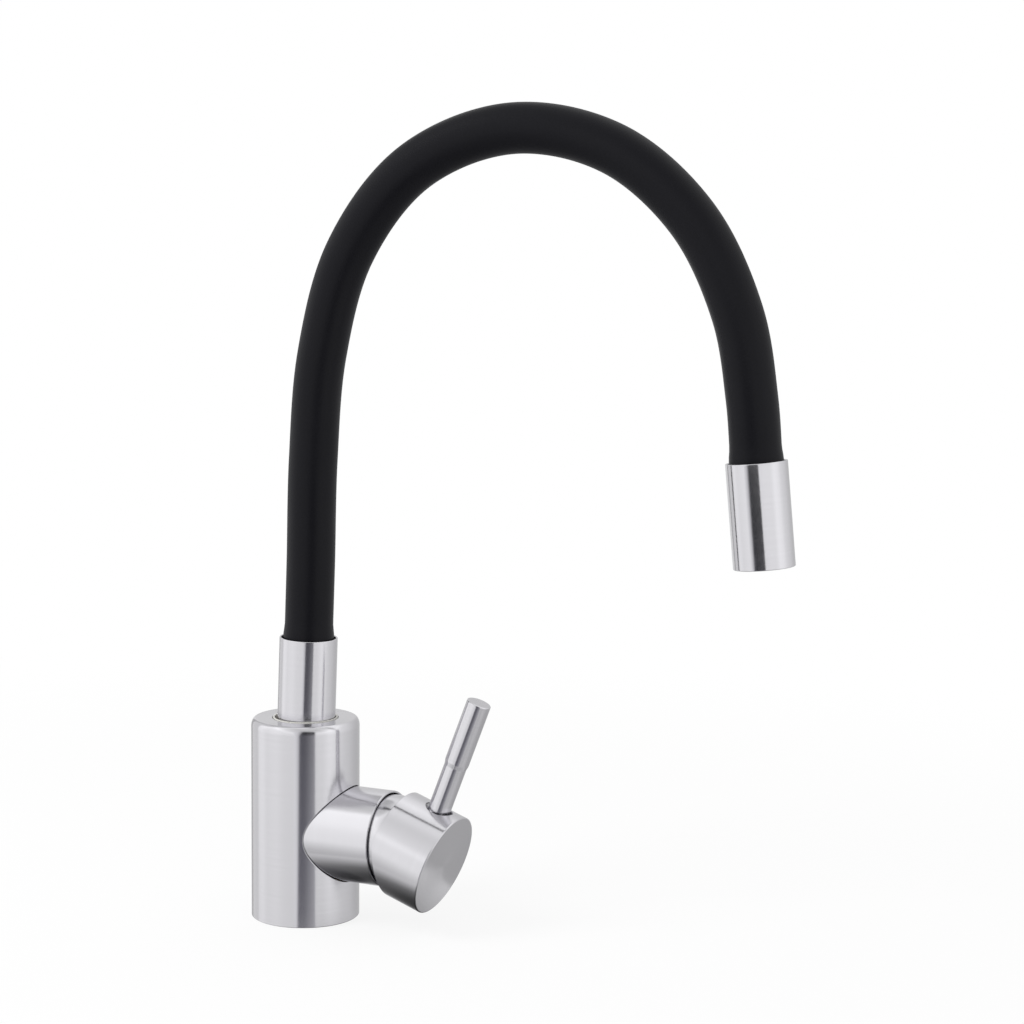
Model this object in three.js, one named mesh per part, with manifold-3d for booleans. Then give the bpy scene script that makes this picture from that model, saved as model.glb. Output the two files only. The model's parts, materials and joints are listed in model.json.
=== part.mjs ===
// A single-lever kitchen faucet with a flexible, stay-put hose spout.
//
// Millimetres, +Z up. The origin is the centre of the base, on the counter. The spout's arch
// lies in the XZ plane, over +X. The spout can swing on the body, and stands a few degrees
// from the line of the branch, which carries the handle.

import * as THREE from 'three';
import { mergeVertices } from 'three/addons/utils/BufferGeometryUtils.js';
import Module from 'manifold-3d';

const wasm = await Module();
wasm.setup();

// Gaps and cuts
const CLEARANCE = 0.3;          // between two pieces that meet
const OVERRUN = 1;              // how far a cutting tool runs past the face that it cuts

// How finely the round pieces are made: sides of a circle, and steps of a rounded edge
const FINE = 36;
const MEDIUM = 20;
const COARSE = 16;
const TINY = 8;
const EDGE_STEPS = 1;
const SHOULDER_STEPS = 3;

// Body: an upright tube with a closed top
const BODY_RADIUS = 25;
const BODY_WALL = 3;
const BODY_ABOVE_BRANCH = 52.3; // from the branch's axis to the body's top
const TOP_PLATE = 3.7;          // thickness of the closed top
const SHOULDER_DROP = 3.8;      // height of the rounded shoulder
const SHOULDER_INSET = 2.2;     // how far the shoulder draws in
const NECK_HOLE_RADIUS = 15.2;

// Base plug: closes the body's underside and takes the supply hoses and the fixing stud
const PLUG_HEIGHT = 14;
const INLET_RADIUS = 4.5;
const INLET_DEPTH = 11;
const INLET_OFFSET = 8;         // each inlet's distance from the XZ plane
const INLET_X = 2;
const STUD_RADIUS = 3.4;
const STUD_DEPTH = 11;
const STUD_X = -12.5;
const GASKET_WIDTH = 2.4;
const GASKET_HEIGHT = 1.7;
const GASKET_EDGE = 1.4;        // rim of the plug outside the gasket's groove

// Branch: the side tube that holds the valve
const BRANCH_AXIS_HEIGHT = 40.7;
const BRANCH_RADIUS = 21.85;
const BRANCH_WALL = 1;
const BRANCH_REACH = 44.1;      // from the body's axis to the branch's rim
const RIM_ROUND = 0.3;          // rounding of thin tube rims

// Valve block: cast waterways and the socket for the cartridge
const SOCKET_RADIUS = 17.6;
const SEAT_DEPTH = 31.3;        // from the branch's rim to the floor of the socket
const NOSE_RADIUS = 19;         // threaded nose that the dome cap screws on
const NOSE_LENGTH = 5;
const PASSAGE_RADIUS = 2.5;
const OUTLET_PASSAGE_RADIUS = 3.2;
const OUTLET_PASSAGE_X = -5.5;
const BLOCK_ABOVE_BRANCH = 22;  // from the branch's axis to the face under the swivel

// Ports of the cartridge, seen along the branch
const INLET_PORT_RADIUS = 2.2;
const INLET_PORT_Y = 5.2;
const INLET_PORT_Z = 3.2;
const OUTLET_PORT_RADIUS = 2.8;
const OUTLET_PORT_Z = -3.4;
const PORT_SEAL_WIDTH = 1.2;
const PORT_SEAL_HEIGHT = 1.2;

// Cartridge: base, discs, housing and the nut that holds it down
const CARTRIDGE_BASE = 4.5;
const CAVITY_RADIUS = 15.1;     // room for the moving disc
const DISC_THICKNESS = 3.8;
const MOVING_DISC_RADIUS = 11;
const MIXING_POCKET_RADIUS = 6;
const MIXING_POCKET_DEPTH = 2;
const MIXING_POCKET_Z = -1.6;   // the pocket's place on the moving disc
const CARRIER_HEIGHT = 7;
const CARRIER_FLOOR = 2;
const COLLAR_FLANGE_RADIUS = 12;
const COLLAR_FLANGE = 2.4;
const COLLAR_RADIUS = 8.5;
const HOUSING_SHOULDER = 2.5;
const HOUSING_NECK_WALL = 1.7;
const HOUSING_NECK_LENGTH = 9;
const NUT_HEIGHT = 4.2;
const NUT_NOTCHES = 6;
const NUT_NOTCH_WIDTH = 3;
const NUT_NOTCH_DEPTH = 2;

// Stem: tilts on a pin inside the collar, and its ball end pushes the disc carrier
const PIVOT_BEYOND_BRANCH = 1.9;    // from the branch's rim to the pin
const PIN_RADIUS = 1.5;
const STEM_HALF_WIDTH = 2.6;    // of the square shaft
const STEM_REACH = 23.3;        // from the pin to the end of the shaft
const STEM_HEEL = 3.6;          // the square shaft's end behind the pin
const ARM_LENGTH = 15;          // from the pin to the centre of the ball
const ARM_RADIUS = 1.9;
const BALL_RADIUS = 2.5;
const CARRIER_OFFSET = 2.6;     // from the carrier's centre to its slot

// Dome cap: a spherical cover centred on the pin
const DOME_RADIUS = 20.3;
const DOME_WALL = 1.6;
const DOME_OPENING_DEG = 54;    // half the angle of the hole for the stem
const DOME_STEPS = 4;

// Handle head: a drum round the same pin, with a flat front
const HEAD_RADIUS = 23.6;
const HEAD_WALL = 0.8;
const HEAD_REAR = 0.5;          // from the pin to the drum's open end
const HEAD_SLANT_DEG = 21.3;    // the open end's lower part leans away from the branch
const HEAD_SLANT_TOP = 2.85;    // where that starts, above the head's axis
const HEAD_FRONT = 27.9;        // from the pin to the flat front
const HEAD_FRONT_PLATE = 3;
const HEAD_ROUND = 0.6;
const HUB_RADIUS = 6.5;
const HUB_REAR = 12.8;
const HUB_FLANGE_RADIUS = 15;
const HUB_FLANGE = 2.6;
const HUB_END_WALL = 1;
const CLAMP_RADIUS = 2;
const CLAMP_REACH = 21;         // from the pin to the clamp screw
const CLAMP_LENGTH = 3.2;
const CLAMP_ACCESS_RADIUS = 2.6;

// Lever: a stepped rod on a threaded stud
const LEVER_REACH = 16.2;       // from the pin to the lever, along the head
const LEVER_LEAN_DEG = 1.2;     // forwards, away from the branch
const LEVER_START = 18.5;       // from the head's axis to the rod's lower end
const LEVER_END = 76.7;
const LEVER_STEP_START = 45;
const LEVER_STEP_END = 47;
const LEVER_LOWER_RADIUS = 5.2;
const LEVER_UPPER_RADIUS = 5.6;
const LEVER_EDGE = 0.5;
const LEVER_HOLE_MARGIN = 1.35; // round the lever, in the head's wall
const LEVER_STUD_RADIUS = 2.8;
const LEVER_STUD_START = 3.2;
const LEVER_STUD_END = 27;

// Pose at rest: the handle stands open, a little turned, and the branch a little swung
const BRANCH_SWING_DEG = 4.3;   // about the body's axis, from the spout's plane
const HANDLE_TURN_DEG = 2.3;    // about the branch's axis
const HANDLE_TILT_DEG = 19;     // about the pin, from closed
const FULL_TILT_DEG = 22;       // fully open

// Swivel: the spout's spigot turns in a socket on top of the valve block
const SPIGOT_RADIUS = 9;
const SPIGOT_BORE = 5;
const SOCKET_FLOOR = 3.7;
const SPIGOT_LIFT = 1;          // gap under the spigot, where the water enters
const RING_GROOVE_DEPTH = 1.6;
const RING_SECTION_RADIUS = 0.7;
const RING_SECTION_SIDES = 4;
const RING_SHARES = [0.22, 0.55];   // O-rings' places, from the spigot's end to the clip
const CLIP_BELOW_TOP = 3.8;     // clip's middle, below the socket's top
const CLIP_THICKNESS = 1.4;
const CLIP_INNER_RADIUS = 8.2;
const CLIP_OUTER_RADIUS = 10.7;
const CLIP_OPENING = 9;
const FLANGE_RADIUS = 11.7;
const FLANGE_THICKNESS = 3;
const SEAL_RADIUS = 5;          // rubber ring round the outlet passage
const GLIDE_WALL = 0.7;
const GLIDE_FOOT = 0.8;
const GLIDE_FOOT_INNER = 12.6;
const GLIDE_PROUD = 0.3;         // how far its rim stands above the body's top

// Neck: the metal sleeve round the foot of the hose, leaning a little to the outlet
const NECK_PIVOT_DEPTH = 15;    // from the body's top to where the leaning axis starts
const NECK_LEAN_DEG = 1.8;
const NECK_RADIUS = 13.36;
const NECK_WALL = 0.8;
const NECK_START = 12.9;        // along the leaning axis, from where it crosses
const NECK_END = 52.5;
const NIPPLE_RADIUS = 8;        // threaded end of the spigot, inside the foot fitting
const NIPPLE_START = 13;
const NIPPLE_END = 24;
const FOOT_FITTING_START = 15;
const FOOT_FITTING_END = 27;

// Hose barbs on both fittings
const BARB_RADIUS = 5;
const BARB_ROOT_RADIUS = 4.4;
const BARB_BORE = 3.2;
const BARB_LENGTH = 15;
const BARB_TEETH = 3;

// Hose: a silicone sleeve round a stay-put metal core, with the water tube inside
const HOSE_RADIUS = 11.1;
const SLEEVE_WALL = 2;
const HOSE_FLARE_RADIUS = 11.7; // where it enters the metal sleeves
const HOSE_FLARE_LENGTH = 7;
const CORE_BORE = 5.8;
const WATER_RADIUS = 3.2;
const HOSE_SIDES = 16;
const CORE_SIDES = 8;
const HOSE_STEP = 13;           // greatest length of one step along the hose
const HOSE_BENDS = 7;           // bending places
const FIRST_BEND = 44;          // from either end of the hose to the nearest bend
const BALL_END_RADIUS = 10.2;   // of the ball that each piece ends in
const BALL_CLEARANCE = 0.5;     // round it, in the piece that it sits in
const BALL_RINGS = 8;
const BEND_MARGIN = 1.7;        // from a bend's centre to the edges of the pieces there
const CORE_SOCKET_MARGIN = 13;  // from a bend's centre to the core of the piece after it
const CORE_BALL_MARGIN = 11;    // from the core of the piece before a bend to its centre
const ROUTE_LEAD = 5;           // how far the route runs on past the hose's ends
const ROUTE_DIVISIONS = 2000;

// Nozzle: the metal sleeve at the outlet
const NOZZLE_RIM_X = 211.5;
const NOZZLE_RIM_HEIGHT = 220.4;
const NOZZLE_TILT_DEG = 5.75;   // the outlet points a little outwards
const NOZZLE_RADIUS = 13.3;
const NOZZLE_WALL = 0.8;
const NOZZLE_LENGTH = 45.2;
const HOSE_SEAT_DEPTH = 12;     // the hose's end, below the rim
const NOZZLE_FITTING_LENGTH = 12;
const NOZZLE_CHAMBER_RADIUS = 9;
const NOZZLE_CHAMBER_DEPTH = 6;
const AERATOR_SEAT_LENGTH = 8;
const AERATOR_SEAT_RADIUS = 7;
const AERATOR_WALL = 1.25;
const AERATOR_GASKET_WIDTH = 2.2;
const AERATOR_GASKET_HEIGHT = 1.1;
const AERATOR_CUP_WALL = 2;
const AERATOR_CUP_HOLE = 4;
const SCREEN_THICKNESS = 1;
const SCREEN_RECESS = 0.7;
const SCREEN_HOLE_RADIUS = 0.9;
const SCREEN_HOLE_SPACING = 3.6;
const SCREEN_RINGS = 2;
const SCREEN_HOLE_SIDES = 6;

// Route of the hose's centre line: up from the neck, over the arch and down to the nozzle.
// Each place is a share of the nozzle's distance, and one of the height from the neck's rim
// or the nozzle's rim to the top of the arch.
const ARCH_HEIGHT = 360.7;
const RISE_SHARES = [
  [0.013, 0.15], [0.019, 0.358], [0.04, 0.567], [0.106, 0.767], [0.251, 0.928], [0.466, 1],
];
const FALL_SHARES = [[0.686, 0.938], [0.856, 0.729], [0.954, 0.446], [0.988, 0.19]];

// Sizes that follow from those above
const bodyHeight = BRANCH_AXIS_HEIGHT + BODY_ABOVE_BRANCH;
const bodyInnerRadius = BODY_RADIUS - BODY_WALL;
const coreRadius = bodyInnerRadius - CLEARANCE;          // of what stands inside the body
const branchInnerRadius = BRANCH_RADIUS - BRANCH_WALL;
const blockRadius = branchInnerRadius - CLEARANCE;       // of the valve block in the branch
const seatX = BRANCH_REACH - SEAT_DEPTH;
const pivotX = BRANCH_REACH + PIVOT_BEYOND_BRANCH;
const noseEnd = BRANCH_REACH - CLEARANCE;
const noseStart = noseEnd - NOSE_LENGTH;
const cartridgeRadius = SOCKET_RADIUS - CLEARANCE;
const baseStart = seatX + CLEARANCE;
const discStart = baseStart + CARTRIDGE_BASE + CLEARANCE;
const movingDiscStart = discStart + DISC_THICKNESS + CLEARANCE;
const carrierStart = movingDiscStart + DISC_THICKNESS + CLEARANCE;
const collarStart = carrierStart + CARRIER_HEIGHT + CLEARANCE;
const cavityEnd = collarStart + COLLAR_FLANGE + CLEARANCE;
const shoulderEnd = cavityEnd + HOUSING_SHOULDER;
const neckBoreRadius = COLLAR_RADIUS + CLEARANCE;
const housingNeckRadius = neckBoreRadius + HOUSING_NECK_WALL;
const housingEnd = shoulderEnd + HOUSING_NECK_LENGTH;
const handleTilt = THREE.MathUtils.degToRad(HANDLE_TILT_DEG);
const fullTilt = THREE.MathUtils.degToRad(FULL_TILT_DEG);
const discSlide = ARM_LENGTH * Math.sin(handleTilt) - CARRIER_OFFSET;
const headPlateStart = HEAD_FRONT - HEAD_FRONT_PLATE;
const hubEnd = headPlateStart - CLEARANCE;
const swivelTop = bodyHeight - TOP_PLATE - CLEARANCE;
const swivelBottom = BRANCH_AXIS_HEIGHT + BLOCK_ABOVE_BRANCH + CLEARANCE;
const chamberFloor = swivelBottom + SOCKET_FLOOR;
const chamberRadius = SPIGOT_RADIUS + CLEARANCE;
const spigotBottom = chamberFloor + SPIGOT_LIFT;
const clipMiddle = swivelTop - CLIP_BELOW_TOP;
const clipHalf = CLIP_THICKNESS / 2 + CLEARANCE;         // of the grooves that the clip is in
const ringHeights = RING_SHARES.map((share) =>
  THREE.MathUtils.lerp(spigotBottom, clipMiddle, share));
const flangeBottom = swivelTop + CLEARANCE;
const flangeTop = flangeBottom + FLANGE_THICKNESS;
const neckInnerRadius = NECK_RADIUS - NECK_WALL;
const hoseStart = FOOT_FITTING_END + CLEARANCE;
const sleeveBore = HOSE_RADIUS - SLEEVE_WALL;
const hoseCoreRadius = sleeveBore - CLEARANCE;
const nozzleInnerRadius = NOZZLE_RADIUS - NOZZLE_WALL;
const fittingTop = -HOSE_SEAT_DEPTH - CLEARANCE;
const fittingBottom = fittingTop - NOZZLE_FITTING_LENGTH;
const aeratorTop = fittingBottom - CLEARANCE;
const aeratorSeat = aeratorTop - AERATOR_SEAT_LENGTH;
const aeratorRadius = nozzleInnerRadius - CLEARANCE;
const cupRadius = aeratorRadius - AERATOR_WALL - CLEARANCE;
const screenBottom = -NOZZLE_LENGTH + SCREEN_RECESS;
const screenTop = screenBottom + SCREEN_THICKNESS;

// Frames of the leaning neck, upwards from where its axis crosses the body's, and of the
// tilted nozzle, downwards from its rim
const neckFrame = new THREE.Matrix4()
  .makeRotationY(THREE.MathUtils.degToRad(NECK_LEAN_DEG))
  .setPosition(0, 0, bodyHeight - NECK_PIVOT_DEPTH);
const nozzleFrame = new THREE.Matrix4()
  .makeRotationY(-THREE.MathUtils.degToRad(NOZZLE_TILT_DEG))
  .setPosition(NOZZLE_RIM_X, 0, NOZZLE_RIM_HEIGHT);

// Shapes

// Keeps only the corners of a shape, each once, and drops triangles that have no area
function bare(shape) {
  shape.deleteAttribute('normal');
  shape.deleteAttribute('uv');
  const merged = mergeVertices(shape);
  const corners = Array.from(merged.index.array);
  const kept = [];
  for (let i = 0; i < corners.length; i += 3) {
    const [a, b, c] = corners.slice(i, i + 3);
    if (a !== b && b !== c && c !== a) kept.push(a, b, c);
  }
  merged.setIndex(kept);
  return merged;
}

// Turned about +Z from [radius, height] points, anticlockwise with the radius to the right.
// An outline that doesn't start on the axis closes on itself.
function turned(outline, sides) {
  const points = outline.map(([radius, height]) => new THREE.Vector2(radius, height));
  if (outline[0][0] > 0) points.push(points[0].clone());
  return bare(new THREE.LatheGeometry(points, sides).rotateX(Math.PI / 2));
}

// The same, turned about +X
function turnedAlongX(outline, sides) {
  return turned(outline, sides).rotateY(Math.PI / 2);
}

// Outlines for turned()
function drum(radius, from, to) {
  return [[0, from], [radius, from], [radius, to], [0, to]];
}

function tube(radius, bore, from, to) {
  return [[bore, from], [radius, from], [radius, to], [bore, to]];
}

// Points of a quarter ellipse about a centre, from one angle to another, in quarter turns
function arc(centreRadius, centreHeight, across, up, fromQuarter, toQuarter, steps) {
  return Array.from({ length: steps + 1 }, (_, i) => {
    const angle = THREE.MathUtils.lerp(fromQuarter, toQuarter, i / steps) * Math.PI / 2;
    return [centreRadius + across * Math.cos(angle), centreHeight + up * Math.sin(angle)];
  });
}

// A tube whose two rims are rounded on the outside
function roundedTube(radius, bore, from, to, round) {
  return [
    [bore, from],
    ...arc(radius - round, from + round, round, round, -1, 0, EDGE_STEPS),
    ...arc(radius - round, to - round, round, round, 0, 1, EDGE_STEPS),
    [bore, to],
  ];
}

// A round bar between two points
function bar(from, to, radius, sides) {
  const start = new THREE.Vector3(...from);
  const along = new THREE.Vector3(...to).sub(start);
  const length = along.length();
  const shape = new THREE.CylinderGeometry(radius, radius, length, sides);
  const up = new THREE.Vector3(0, 1, 0);
  shape.applyQuaternion(new THREE.Quaternion().setFromUnitVectors(up, along.normalize()));
  const middle = start.addScaledVector(along, length / 2);
  return bare(shape.translate(middle.x, middle.y, middle.z));
}

// A box between two corners
function block([x0, y0, z0], [x1, y1, z1]) {
  const shape = new THREE.BoxGeometry(x1 - x0, y1 - y0, z1 - z0);
  return bare(shape.translate((x0 + x1) / 2, (y0 + y1) / 2, (z0 + z1) / 2));
}

// Joining and cutting

function toSolid(shape) {
  return new wasm.Manifold(new wasm.Mesh({
    numProp: 3,
    vertProperties: Float32Array.from(shape.attributes.position.array),
    triVerts: Uint32Array.from(shape.index.array),
  }));
}

function toShape(solid) {
  const mesh = solid.getMesh();
  const shape = new THREE.BufferGeometry();
  shape.setAttribute('position', new THREE.BufferAttribute(mesh.vertProperties, 3));
  shape.setIndex(new THREE.BufferAttribute(mesh.triVerts, 1));
  return shape;
}

function cut(shape, ...tools) {
  const solid = tools.reduce((rest, tool) => rest.subtract(toSolid(tool)), toSolid(shape));
  return toShape(solid);
}

function join(shape, ...others) {
  const solid = others.reduce((whole, other) => whole.add(toSolid(other)), toSolid(shape));
  return toShape(solid);
}

// Materials

function material(color, roughness, metalness) {
  return new THREE.MeshStandardMaterial({ color, roughness, metalness });
}

const SATIN_STEEL = material(0xc4c3c6, 0.32, 1);
const PLAIN_STEEL = material(0x9b9b9e, 0.4, 1);
const BRASS = material(0xb99a5b, 0.35, 1);
const SILICONE = material(0x1b1b1f, 0.6, 0);
const RUBBER = material(0x26262a, 0.8, 0);
const WHITE_PLASTIC = material(0xe4e2dc, 0.5, 0);
const BLACK_PLASTIC = material(0x2a2a2d, 0.5, 0);
const CERAMIC = material(0xeeece6, 0.2, 0);

function piece(name, shape, finish) {
  shape.computeVertexNormals();
  const mesh = new THREE.Mesh(shape, finish);
  mesh.name = name;
  return mesh;
}

function group(...members) {
  const result = new THREE.Group();
  result.add(...members);
  return result;
}

// Body and base

function bodyShell() {
  const plateBottom = bodyHeight - TOP_PLATE;
  const shell = turned([
    [bodyInnerRadius, 0],
    [BODY_RADIUS, 0],
    ...arc(BODY_RADIUS - SHOULDER_INSET, bodyHeight - SHOULDER_DROP,
      SHOULDER_INSET, SHOULDER_DROP, 0, 1, SHOULDER_STEPS),
    [NECK_HOLE_RADIUS, bodyHeight],
    [NECK_HOLE_RADIUS, plateBottom],
    [bodyInnerRadius, plateBottom],
  ], FINE);
  const branchHole = bar([0, 0, BRANCH_AXIS_HEIGHT],
    [BODY_RADIUS + OVERRUN, 0, BRANCH_AXIS_HEIGHT], BRANCH_RADIUS + CLEARANCE, FINE);
  return piece('body_shell', cut(shell, branchHole), SATIN_STEEL);
}

function basePlug() {
  const grooveOuter = coreRadius - GASKET_EDGE;
  const grooveInner = grooveOuter - GASKET_WIDTH - 2 * CLEARANCE;
  const tools = [
    turned(tube(grooveOuter, grooveInner, -OVERRUN, GASKET_HEIGHT + CLEARANCE), MEDIUM),
    bar([STUD_X, 0, -OVERRUN], [STUD_X, 0, STUD_DEPTH], STUD_RADIUS, COARSE),
  ];
  for (const y of [-INLET_OFFSET, INLET_OFFSET]) {
    tools.push(bar([INLET_X, y, -OVERRUN], [INLET_X, y, INLET_DEPTH], INLET_RADIUS, COARSE));
    tools.push(bar([INLET_X, y, 0], [INLET_X, y, PLUG_HEIGHT + OVERRUN],
      PASSAGE_RADIUS, TINY));
  }
  const plug = turned(drum(coreRadius, 0, PLUG_HEIGHT), MEDIUM);
  return piece('base_plug', cut(plug, ...tools), BRASS);
}

function baseGasket() {
  const outer = coreRadius - GASKET_EDGE - CLEARANCE;
  const ring = turned(tube(outer, outer - GASKET_WIDTH, 0, GASKET_HEIGHT), MEDIUM);
  return piece('base_gasket', ring, RUBBER);
}

function branchTube() {
  const pipe = turnedAlongX([
    [branchInnerRadius, 0],
    [BRANCH_RADIUS, 0],
    ...arc(BRANCH_RADIUS - RIM_ROUND, BRANCH_REACH - RIM_ROUND,
      RIM_ROUND, RIM_ROUND, 0, 1, EDGE_STEPS),
    [branchInnerRadius, BRANCH_REACH],
  ], FINE);
  const saddle = turned(drum(bodyInnerRadius + CLEARANCE, -BRANCH_RADIUS - OVERRUN,
    BRANCH_RADIUS + OVERRUN), FINE);
  return piece('branch_tube', cut(pipe, saddle), SATIN_STEEL);
}

// The block is made about the branch's axis, as all that it holds is
function valveBlock() {
  const bottom = PLUG_HEIGHT + CLEARANCE - BRANCH_AXIS_HEIGHT;
  const upright = turned(drum(coreRadius, bottom, BLOCK_ABOVE_BRANCH), MEDIUM);
  const barrel = turnedAlongX([
    [0, 0], [blockRadius, 0], [blockRadius, noseStart], [NOSE_RADIUS, noseStart],
    [NOSE_RADIUS, noseEnd], [0, noseEnd],
  ], MEDIUM);
  const socket = bar([seatX, 0, 0], [noseEnd + OVERRUN, 0, 0], SOCKET_RADIUS, MEDIUM);
  const tools = [
    socket,
    bar([OUTLET_PASSAGE_X, 0, OUTLET_PORT_Z], [seatX + OVERRUN, 0, OUTLET_PORT_Z],
      OUTLET_PORT_RADIUS, TINY),
    bar([OUTLET_PASSAGE_X, 0, OUTLET_PORT_Z - OUTLET_PORT_RADIUS],
      [OUTLET_PASSAGE_X, 0, BLOCK_ABOVE_BRANCH + OVERRUN], OUTLET_PASSAGE_RADIUS, TINY),
  ];
  for (const side of [-1, 1]) {
    const foot = [INLET_X, side * INLET_OFFSET];
    tools.push(bar([...foot, bottom - OVERRUN], [...foot, INLET_PORT_Z + INLET_PORT_RADIUS],
      PASSAGE_RADIUS, TINY));
    tools.push(bar([...foot, INLET_PORT_Z],
      [seatX + OVERRUN, side * INLET_PORT_Y, INLET_PORT_Z], INLET_PORT_RADIUS, TINY));
  }
  return piece('valve_block', cut(join(upright, barrel), ...tools), BRASS);
}

// Cartridge

// Centre and radius of each port, as [y, z, radius]
const PORTS = {
  cold: [-INLET_PORT_Y, INLET_PORT_Z, INLET_PORT_RADIUS],
  hot: [INLET_PORT_Y, INLET_PORT_Z, INLET_PORT_RADIUS],
  mixed: [0, OUTLET_PORT_Z, OUTLET_PORT_RADIUS],
};

function portBars(from, to, widening, sides) {
  return Object.values(PORTS).map(([y, z, radius]) =>
    bar([from, y, z], [to, y, z], radius + widening, sides));
}

function cartridgeBase() {
  const end = baseStart + CARTRIDGE_BASE;
  const plate = turnedAlongX(drum(cartridgeRadius, baseStart, end), MEDIUM);
  const holes = portBars(baseStart - OVERRUN, end + OVERRUN, 0, TINY);
  const recesses = portBars(baseStart - OVERRUN, baseStart + PORT_SEAL_HEIGHT + CLEARANCE,
    PORT_SEAL_WIDTH + 2 * CLEARANCE, COARSE);
  return piece('cartridge_base', cut(plate, ...holes, ...recesses), WHITE_PLASTIC);
}

function portSeals() {
  return Object.entries(PORTS).map(([name, [y, z, radius]]) => {
    const bore = radius + CLEARANCE;
    const ring = turnedAlongX(tube(bore + PORT_SEAL_WIDTH, bore, baseStart,
      baseStart + PORT_SEAL_HEIGHT), COARSE);
    return piece(`port_seal_${name}`, ring.translate(0, y, z), RUBBER);
  });
}

function fixedDisc() {
  const end = discStart + DISC_THICKNESS;
  const plate = turnedAlongX(drum(CAVITY_RADIUS - CLEARANCE, discStart, end), MEDIUM);
  const holes = portBars(discStart - OVERRUN, end + OVERRUN, 0, TINY);
  return piece('fixed_disc', cut(plate, ...holes), CERAMIC);
}

function cartridgeHousing() {
  const housing = turnedAlongX([
    [CAVITY_RADIUS, discStart], [cartridgeRadius, discStart], [cartridgeRadius, shoulderEnd],
    [housingNeckRadius, shoulderEnd], [housingNeckRadius, housingEnd],
    [neckBoreRadius, housingEnd], [neckBoreRadius, cavityEnd], [CAVITY_RADIUS, cavityEnd],
  ], MEDIUM);
  return piece('cartridge_housing', housing, WHITE_PLASTIC);
}

function retainingNut() {
  const start = shoulderEnd + CLEARANCE;
  const end = start + NUT_HEIGHT;
  const ring = turnedAlongX(tube(cartridgeRadius, housingNeckRadius + CLEARANCE, start, end),
    MEDIUM);
  const notches = Array.from({ length: NUT_NOTCHES }, (_, i) => {
    const notch = block([end - NUT_NOTCH_DEPTH, housingNeckRadius, -NUT_NOTCH_WIDTH / 2],
      [end + OVERRUN, cartridgeRadius + OVERRUN, NUT_NOTCH_WIDTH / 2]);
    return notch.rotateX(2 * Math.PI * i / NUT_NOTCHES);
  });
  return piece('retaining_nut', cut(ring, ...notches), BRASS);
}

function domeCap() {
  const start = noseStart + CLEARANCE;
  const inner = DOME_RADIUS - DOME_WALL;
  const open = 1 - DOME_OPENING_DEG / 90;     // angles here are quarter turns from the rim
  const shell = turnedAlongX([
    [NOSE_RADIUS + CLEARANCE, start],
    [DOME_RADIUS, start],
    ...arc(0, pivotX, DOME_RADIUS, DOME_RADIUS, 0, open, DOME_STEPS),
    ...arc(0, pivotX, inner, inner, open, 0, DOME_STEPS),
    [inner, noseEnd + CLEARANCE],
    [NOSE_RADIUS + CLEARANCE, noseEnd + CLEARANCE],
  ], MEDIUM);
  return piece('dome_cap', shell, SATIN_STEEL);
}

// Pieces that turn with the handle. These and all that follow them are made about the pin:
// X along the branch or the head, Z up.

function stemCollar() {
  const start = collarStart - pivotX;
  const end = housingEnd + CLEARANCE - pivotX;
  const flangeEnd = start + COLLAR_FLANGE;
  const body = turnedAlongX([
    [0, start], [COLLAR_FLANGE_RADIUS, start], [COLLAR_FLANGE_RADIUS, flangeEnd],
    [COLLAR_RADIUS, flangeEnd], [COLLAR_RADIUS, end], [0, end],
  ], MEDIUM);
  // The slot lets the shaft tip down in front of the pin and the arm swing up behind it
  const half = STEM_HALF_WIDTH + CLEARANCE;
  const below = end * Math.tan(fullTilt) + STEM_HALF_WIDTH / Math.cos(fullTilt) + CLEARANCE;
  const above = -flangeEnd * Math.tan(fullTilt) + ARM_RADIUS / Math.cos(fullTilt) + CLEARANCE;
  const ballTop = ARM_LENGTH * Math.sin(fullTilt) + BALL_RADIUS + CLEARANCE;
  const tools = [
    block([start - OVERRUN, -half, -below], [end + OVERRUN, half, above]),
    block([start - OVERRUN, -half, 0], [flangeEnd, half, ballTop]),
    bar([0, -COLLAR_RADIUS - OVERRUN, 0], [0, COLLAR_RADIUS + OVERRUN, 0],
      PIN_RADIUS + CLEARANCE, TINY),
  ];
  return piece('stem_collar', cut(body, ...tools), BLACK_PLASTIC);
}

function pivotPin() {
  const half = COLLAR_RADIUS - CLEARANCE;
  return piece('pivot_pin', bar([0, -half, 0], [0, half, 0], PIN_RADIUS, TINY), PLAIN_STEEL);
}

function movingDisc() {
  const start = movingDiscStart - pivotX;
  const disc = turnedAlongX(drum(MOVING_DISC_RADIUS, start, start + DISC_THICKNESS), MEDIUM);
  const pocket = bar([start - OVERRUN, 0, MIXING_POCKET_Z],
    [start + MIXING_POCKET_DEPTH, 0, MIXING_POCKET_Z], MIXING_POCKET_RADIUS, COARSE);
  return piece('moving_disc', cut(disc, pocket), CERAMIC);
}

function discCarrier() {
  const start = carrierStart - pivotX;
  const end = start + CARRIER_HEIGHT;
  const half = BALL_RADIUS + CLEARANCE;
  const disc = turnedAlongX(drum(MOVING_DISC_RADIUS, start, end), MEDIUM);
  const slot = block([start + CARRIER_FLOOR, -half, CARRIER_OFFSET - half],
    [end + OVERRUN, half, CARRIER_OFFSET + half]);
  return piece('disc_carrier', cut(disc, slot), BLACK_PLASTIC);
}

// Handle

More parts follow.
